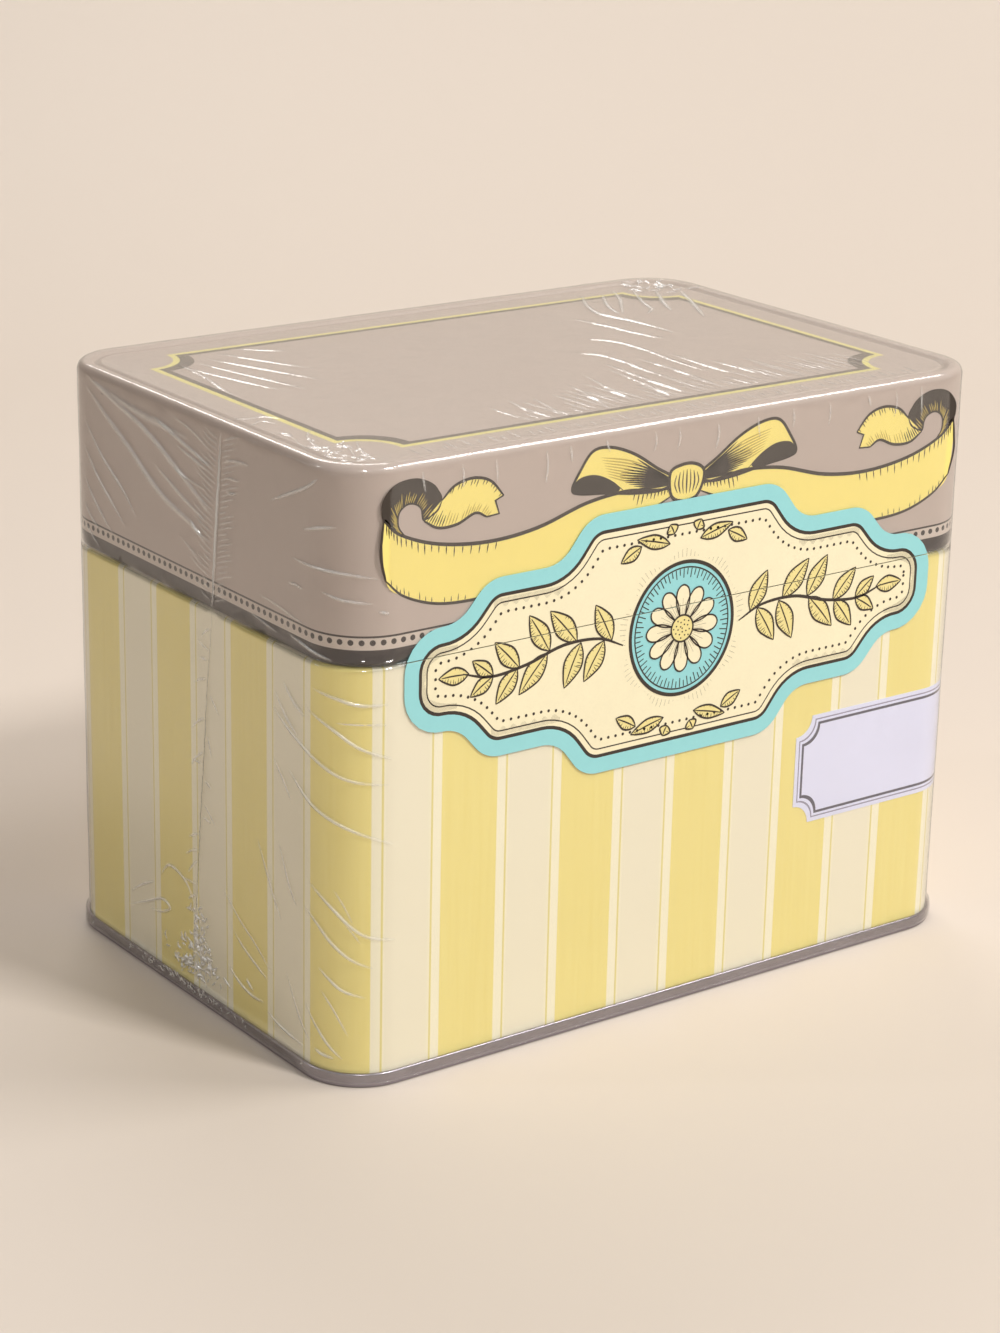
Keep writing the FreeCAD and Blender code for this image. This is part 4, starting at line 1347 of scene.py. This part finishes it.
stem = [(15.5, -1.0), (22, 1.6), (31, 1.8), (40, -0.6), (49, -1.6), (56, 0.2)]
stroke(art, at_z(stem), 0.7, layer=3, tone=0, taper=0.3)
for x, z, angle, length, width in (
        (18.5, 0.6, 62, 9.5, 4.4), (20.5, 1.0, -58, 9.5, 4.4), (27.5, 1.9, 48, 10.5, 4.6),
        (26.5, 1.6, -66, 10.0, 4.6), (34.5, 1.2, 58, 10.0, 4.4), (35.0, 1.0, -48, 10.5, 4.4),
        (42.0, -1.0, 46, 9.0, 4.0), (42.5, -1.0, -52, 8.5, 4.0), (48.5, -1.5, 38, 6.6, 3.2),
        (48.5, -1.5, -32, 6.6, 3.2), (54.5, 0.0, 2, 7.4, 3.6)):
    leaf(x, z, angle, length, width)
for x, z, angle, length in (
        (4.0, 19.0, 14, 9.0), (3.0, 21.0, 62, 2.4), (11.5, 19.6, -28, 6.0), (4.0, -19.0, -14, 9.0),
        (3.0, -21.0, -62, 2.4), (11.5, -19.6, 28, 6.0)):
    leaf(x, z, angle, length, 3.0)

# medallion: turquoise ground inside two dark rings, with a rosette of twelve petals
ring = [(13.4 * math.cos(i * math.pi / 16), 13.4 * math.sin(i * math.pi / 16)) for i in range(32)]
lay_face(art, at_z([(x * 1.02, z * 1.08) for x, z in ring]), 1, 3)
stroke(art, at_z([(x * 1.02, z * 1.08) for x, z in ring]), 0.8, layer=4, tone=0, mirror=False, closed=True)
stroke(art, at_z([(x * 0.93, z * 0.99) for x, z in ring]), 0.3, layer=4, tone=0, mirror=False, closed=True)
for i in range(72):
    turn = i * math.tau / 72
    ray = [(far * math.cos(turn), far * 1.06 * math.sin(turn)) for far in (11.0 if i % 2 else 10.4, 12.3)]
    stroke(art, at_z(ray), 0.22, layer=3, tone=0, mirror=False, taper=0, curve=False)
for i in range(12):
    turn = i * math.tau / 12
    way = Vector((math.cos(turn), math.sin(turn)))
    across = Vector((-way.y, way.x))
    petal = [way * far + across * aside for far, aside in (
        (2.4, 0.5), (5.5, 1.7), (8.4, 1.5), (9.5, 0.0), (8.4, -1.5), (5.5, -1.7), (2.4, -0.5))]
    petal = at_z([tuple(spot) for spot in petal])
    lay_face(art, soft(petal, closed=True), 5 + i % 2, 1)
    stroke(art, petal, 0.36, layer=7, tone=0, mirror=False, closed=True)
    for k in (-1, 0, 1):
        vein = [tuple(way * 2.8 + across * 0.3 * k), tuple(way * (6.6 - abs(k)) + across * 0.75 * k)]
        stroke(art, at_z(vein), 0.2, layer=7, tone=0, mirror=False, taper=0.5, curve=False)
disc = [(2.9 * math.cos(i * math.pi / 10), 2.9 * math.sin(i * math.pi / 10)) for i in range(20)]
lay_face(art, at_z(disc), 8, 2)
stroke(art, at_z(disc), 0.4, layer=10, tone=0, mirror=False, closed=True)
for i in range(19):
    turn, far = i * 2.4, 0.55 * math.sqrt(i)
    x, z = far * math.cos(turn), far * math.sin(turn)
    lay_face(art, at_z([(x + 0.2 * math.cos(k * math.pi / 3), z + 0.2 * math.sin(k * math.pi / 3))
                        for k in range(6)]), 9, 0)
# beading inside the ruled line, rays about the medallion, and engraved shading at the ends
bead_line = [Vector(spot) / mm for spot in plaque(7.4)]
run = 0.0
for a, b in zip(bead_line, bead_line[1:] + bead_line[:1]):
    while run < (b - a).length:
        bead = a.lerp(b, run / (b - a).length)
        lay_face(art, [(bead.x + 0.36 * math.cos(k * math.pi / 3), bead.y + 0.36 * math.sin(k * math.pi / 3))
                       for k in range(6)], 2, 0)
        run += 1.9
    run -= (b - a).length
for i in range(90):
    turn = i * math.tau / 90
    far = 15.9 + 0.9 * math.sin(i * math.tau / 10)
    ray = [(reach * math.cos(turn), (reach + 0.6) * math.sin(turn)) for reach in (15.0, far)]
    stroke(art, at_z(ray), 0.2, layer=2, tone=0, mirror=False, taper=0.5, curve=False)
for i in range(34):
    x = 57.4 + 0.25 * i
    reach = 6.7 if i < 26 else 6.7 - (i - 26) * 0.5
    length = 1.2 + 3.0 * (i / 33) ** 2
    for sign in (1, -1):
        line = at_z([(x, sign * reach), (x, sign * (reach - length))])
        stroke(art, line, 0.13, layer=2, tone=0, taper=0.4, curve=False)
for i in range(60):
    x = 31.5 + 0.29 * i
    for sign in (1, -1):
        length = 1.0 + 0.9 * math.sin(i * 0.35) ** 2
        line = at_z([(x, sign * 14.6), (x, sign * (14.6 - length))])
        stroke(art, line, 0.12, layer=2, tone=0, taper=0.4, curve=False)
sticker_inks = [umber_line, plaque_cream, leaf_ink, turquoise]
sticker_art = finish_art(art, "sticker_art", half_depth + sticker_front, sticker_inks)
only(sticker_sheet)
sticker_art.select_set(True)
bpy.ops.object.join()
for part, body_name, line_z, below in (("lower", "box", film_lower_high, True),
                                       ("upper", "lid", film_upper_low, False)):
    piece = sticker_sheet.copy()
    piece.data = sticker_sheet.data.copy()
    piece.name = f"sticker_{part}_printed"
    bpy.context.scene.collection.objects.link(piece)
    edit(piece)
    bpy.ops.mesh.select_all(action="SELECT")
    bpy.ops.mesh.bisect(plane_co=(0, 0, line_z), plane_no=(0, 0, 1), use_fill=True, clear_outer=below,
                        clear_inner=not below)
    leave()
    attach(piece, body_name)
    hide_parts(f"sticker_{part}")
bpy.data.objects.remove(sticker_sheet)

# Stage
# A plain pale floor that sweeps up behind the box, soft light from the right front and
# above, and the camera of the picture.
camera = bpy.data.objects.new("camera", bpy.data.cameras.new("camera"))
bpy.context.scene.collection.objects.link(camera)
azimuth, elevation, roll = math.radians(-36.30), math.radians(18.90), math.radians(1.2265)
distance = 707.3 * mm
target = Vector((-4.70, 0, 61.28)) * mm


def direction(azimuth, elevation):
    """Unit way from the box: azimuth 0 is the front, positive to its right."""
    flat = math.cos(elevation)
    return Vector((math.sin(azimuth) * flat, -math.cos(azimuth) * flat, math.sin(elevation)))


back = direction(azimuth, elevation)
right = (-back).cross(Vector((0, 0, 1))).normalized()
up = right.cross(-back)
right, up = (math.cos(roll) * right + math.sin(roll) * up, math.cos(roll) * up - math.sin(roll) * right)
pose = Matrix((right, up, back)).transposed().to_4x4()
pose.translation = target + back * distance
camera.matrix_world = pose
camera.data.lens = 85.14
camera.data.sensor_width = 36
camera.data.clip_start = 0.01
bpy.context.scene.camera = camera
bpy.context.scene.view_settings.view_transform = "Standard"

bpy.ops.mesh.primitive_plane_add(size=6)
floor = bpy.context.object
floor.name = "floor"
edit(floor, "EDGE")
pick(floor, "edges", lambda e: e.verts[0].co.y > 1 and e.verts[1].co.y > 1)
bpy.ops.transform.translate(value=(0, 0.5 - 3, 0))
bpy.ops.mesh.spin(steps=16, angle=-math.pi / 2, center=(0, 0.5, 0.45), axis=(1, 0, 0))
bpy.ops.mesh.extrude_region_move(TRANSFORM_OT_translate={"value": (0, 0, 3)})
bpy.ops.mesh.select_all(action="SELECT")
bpy.ops.transform.rotate(value=-azimuth, orient_axis="Z", center_override=(0, 0, 0))
leave()
smooth(floor)
floor_paint, tree, shader = finish("pale_floor", colour(210, 198, 186), 0.6)
coat(floor, floor_paint)


def lamp(name, azimuth, elevation, distance, size, power, tint):
    data = bpy.data.lights.new(name, "AREA")
    data.size = size
    data.energy = power
    data.color = tint
    light = bpy.data.objects.new(name, data)
    bpy.context.scene.collection.objects.link(light)
    way = direction(math.radians(azimuth), math.radians(elevation))
    light.location = way * distance + Vector((0, 0, 60 * mm))
    light.rotation_euler = way.to_track_quat("Z", "Y").to_euler()


lamp("key", 18, 47, 2.4, 0.36, 34.5, (1.0, 0.985, 0.965))
lamp("front", -34, 36, 2.2, 0.24, 12.5, (1.0, 0.985, 0.955))
lamp("window", 60, 50, 1.4, 0.5, 8, (1.0, 0.99, 0.975))
lamp("side", -117, 24, 1.1, 0.06, 1.0, (1.0, 0.99, 0.98))
lamp("overhead", 158, 40, 1.15, 0.5, 3.3, (1.0, 0.99, 0.975))
world = bpy.data.worlds.new("room")
bpy.context.scene.world = world
world.use_nodes = True
tree = world.node_tree
light_path = tree.nodes.new("ShaderNodeLightPath")
seen = calc(tree, "MAXIMUM", light_path.outputs["Is Camera Ray"], light_path.outputs["Is Glossy Ray"])
seen = calc(tree, "MAXIMUM", seen, light_path.outputs["Is Transmission Ray"])
tree.nodes["Background"].inputs["Color"].default_value = (*colour(240, 236, 230), 1)
join(tree, calc(tree, "MULTIPLY_ADD", seen, 0.54, 0.09), tree.nodes["Background"].inputs["Strength"])
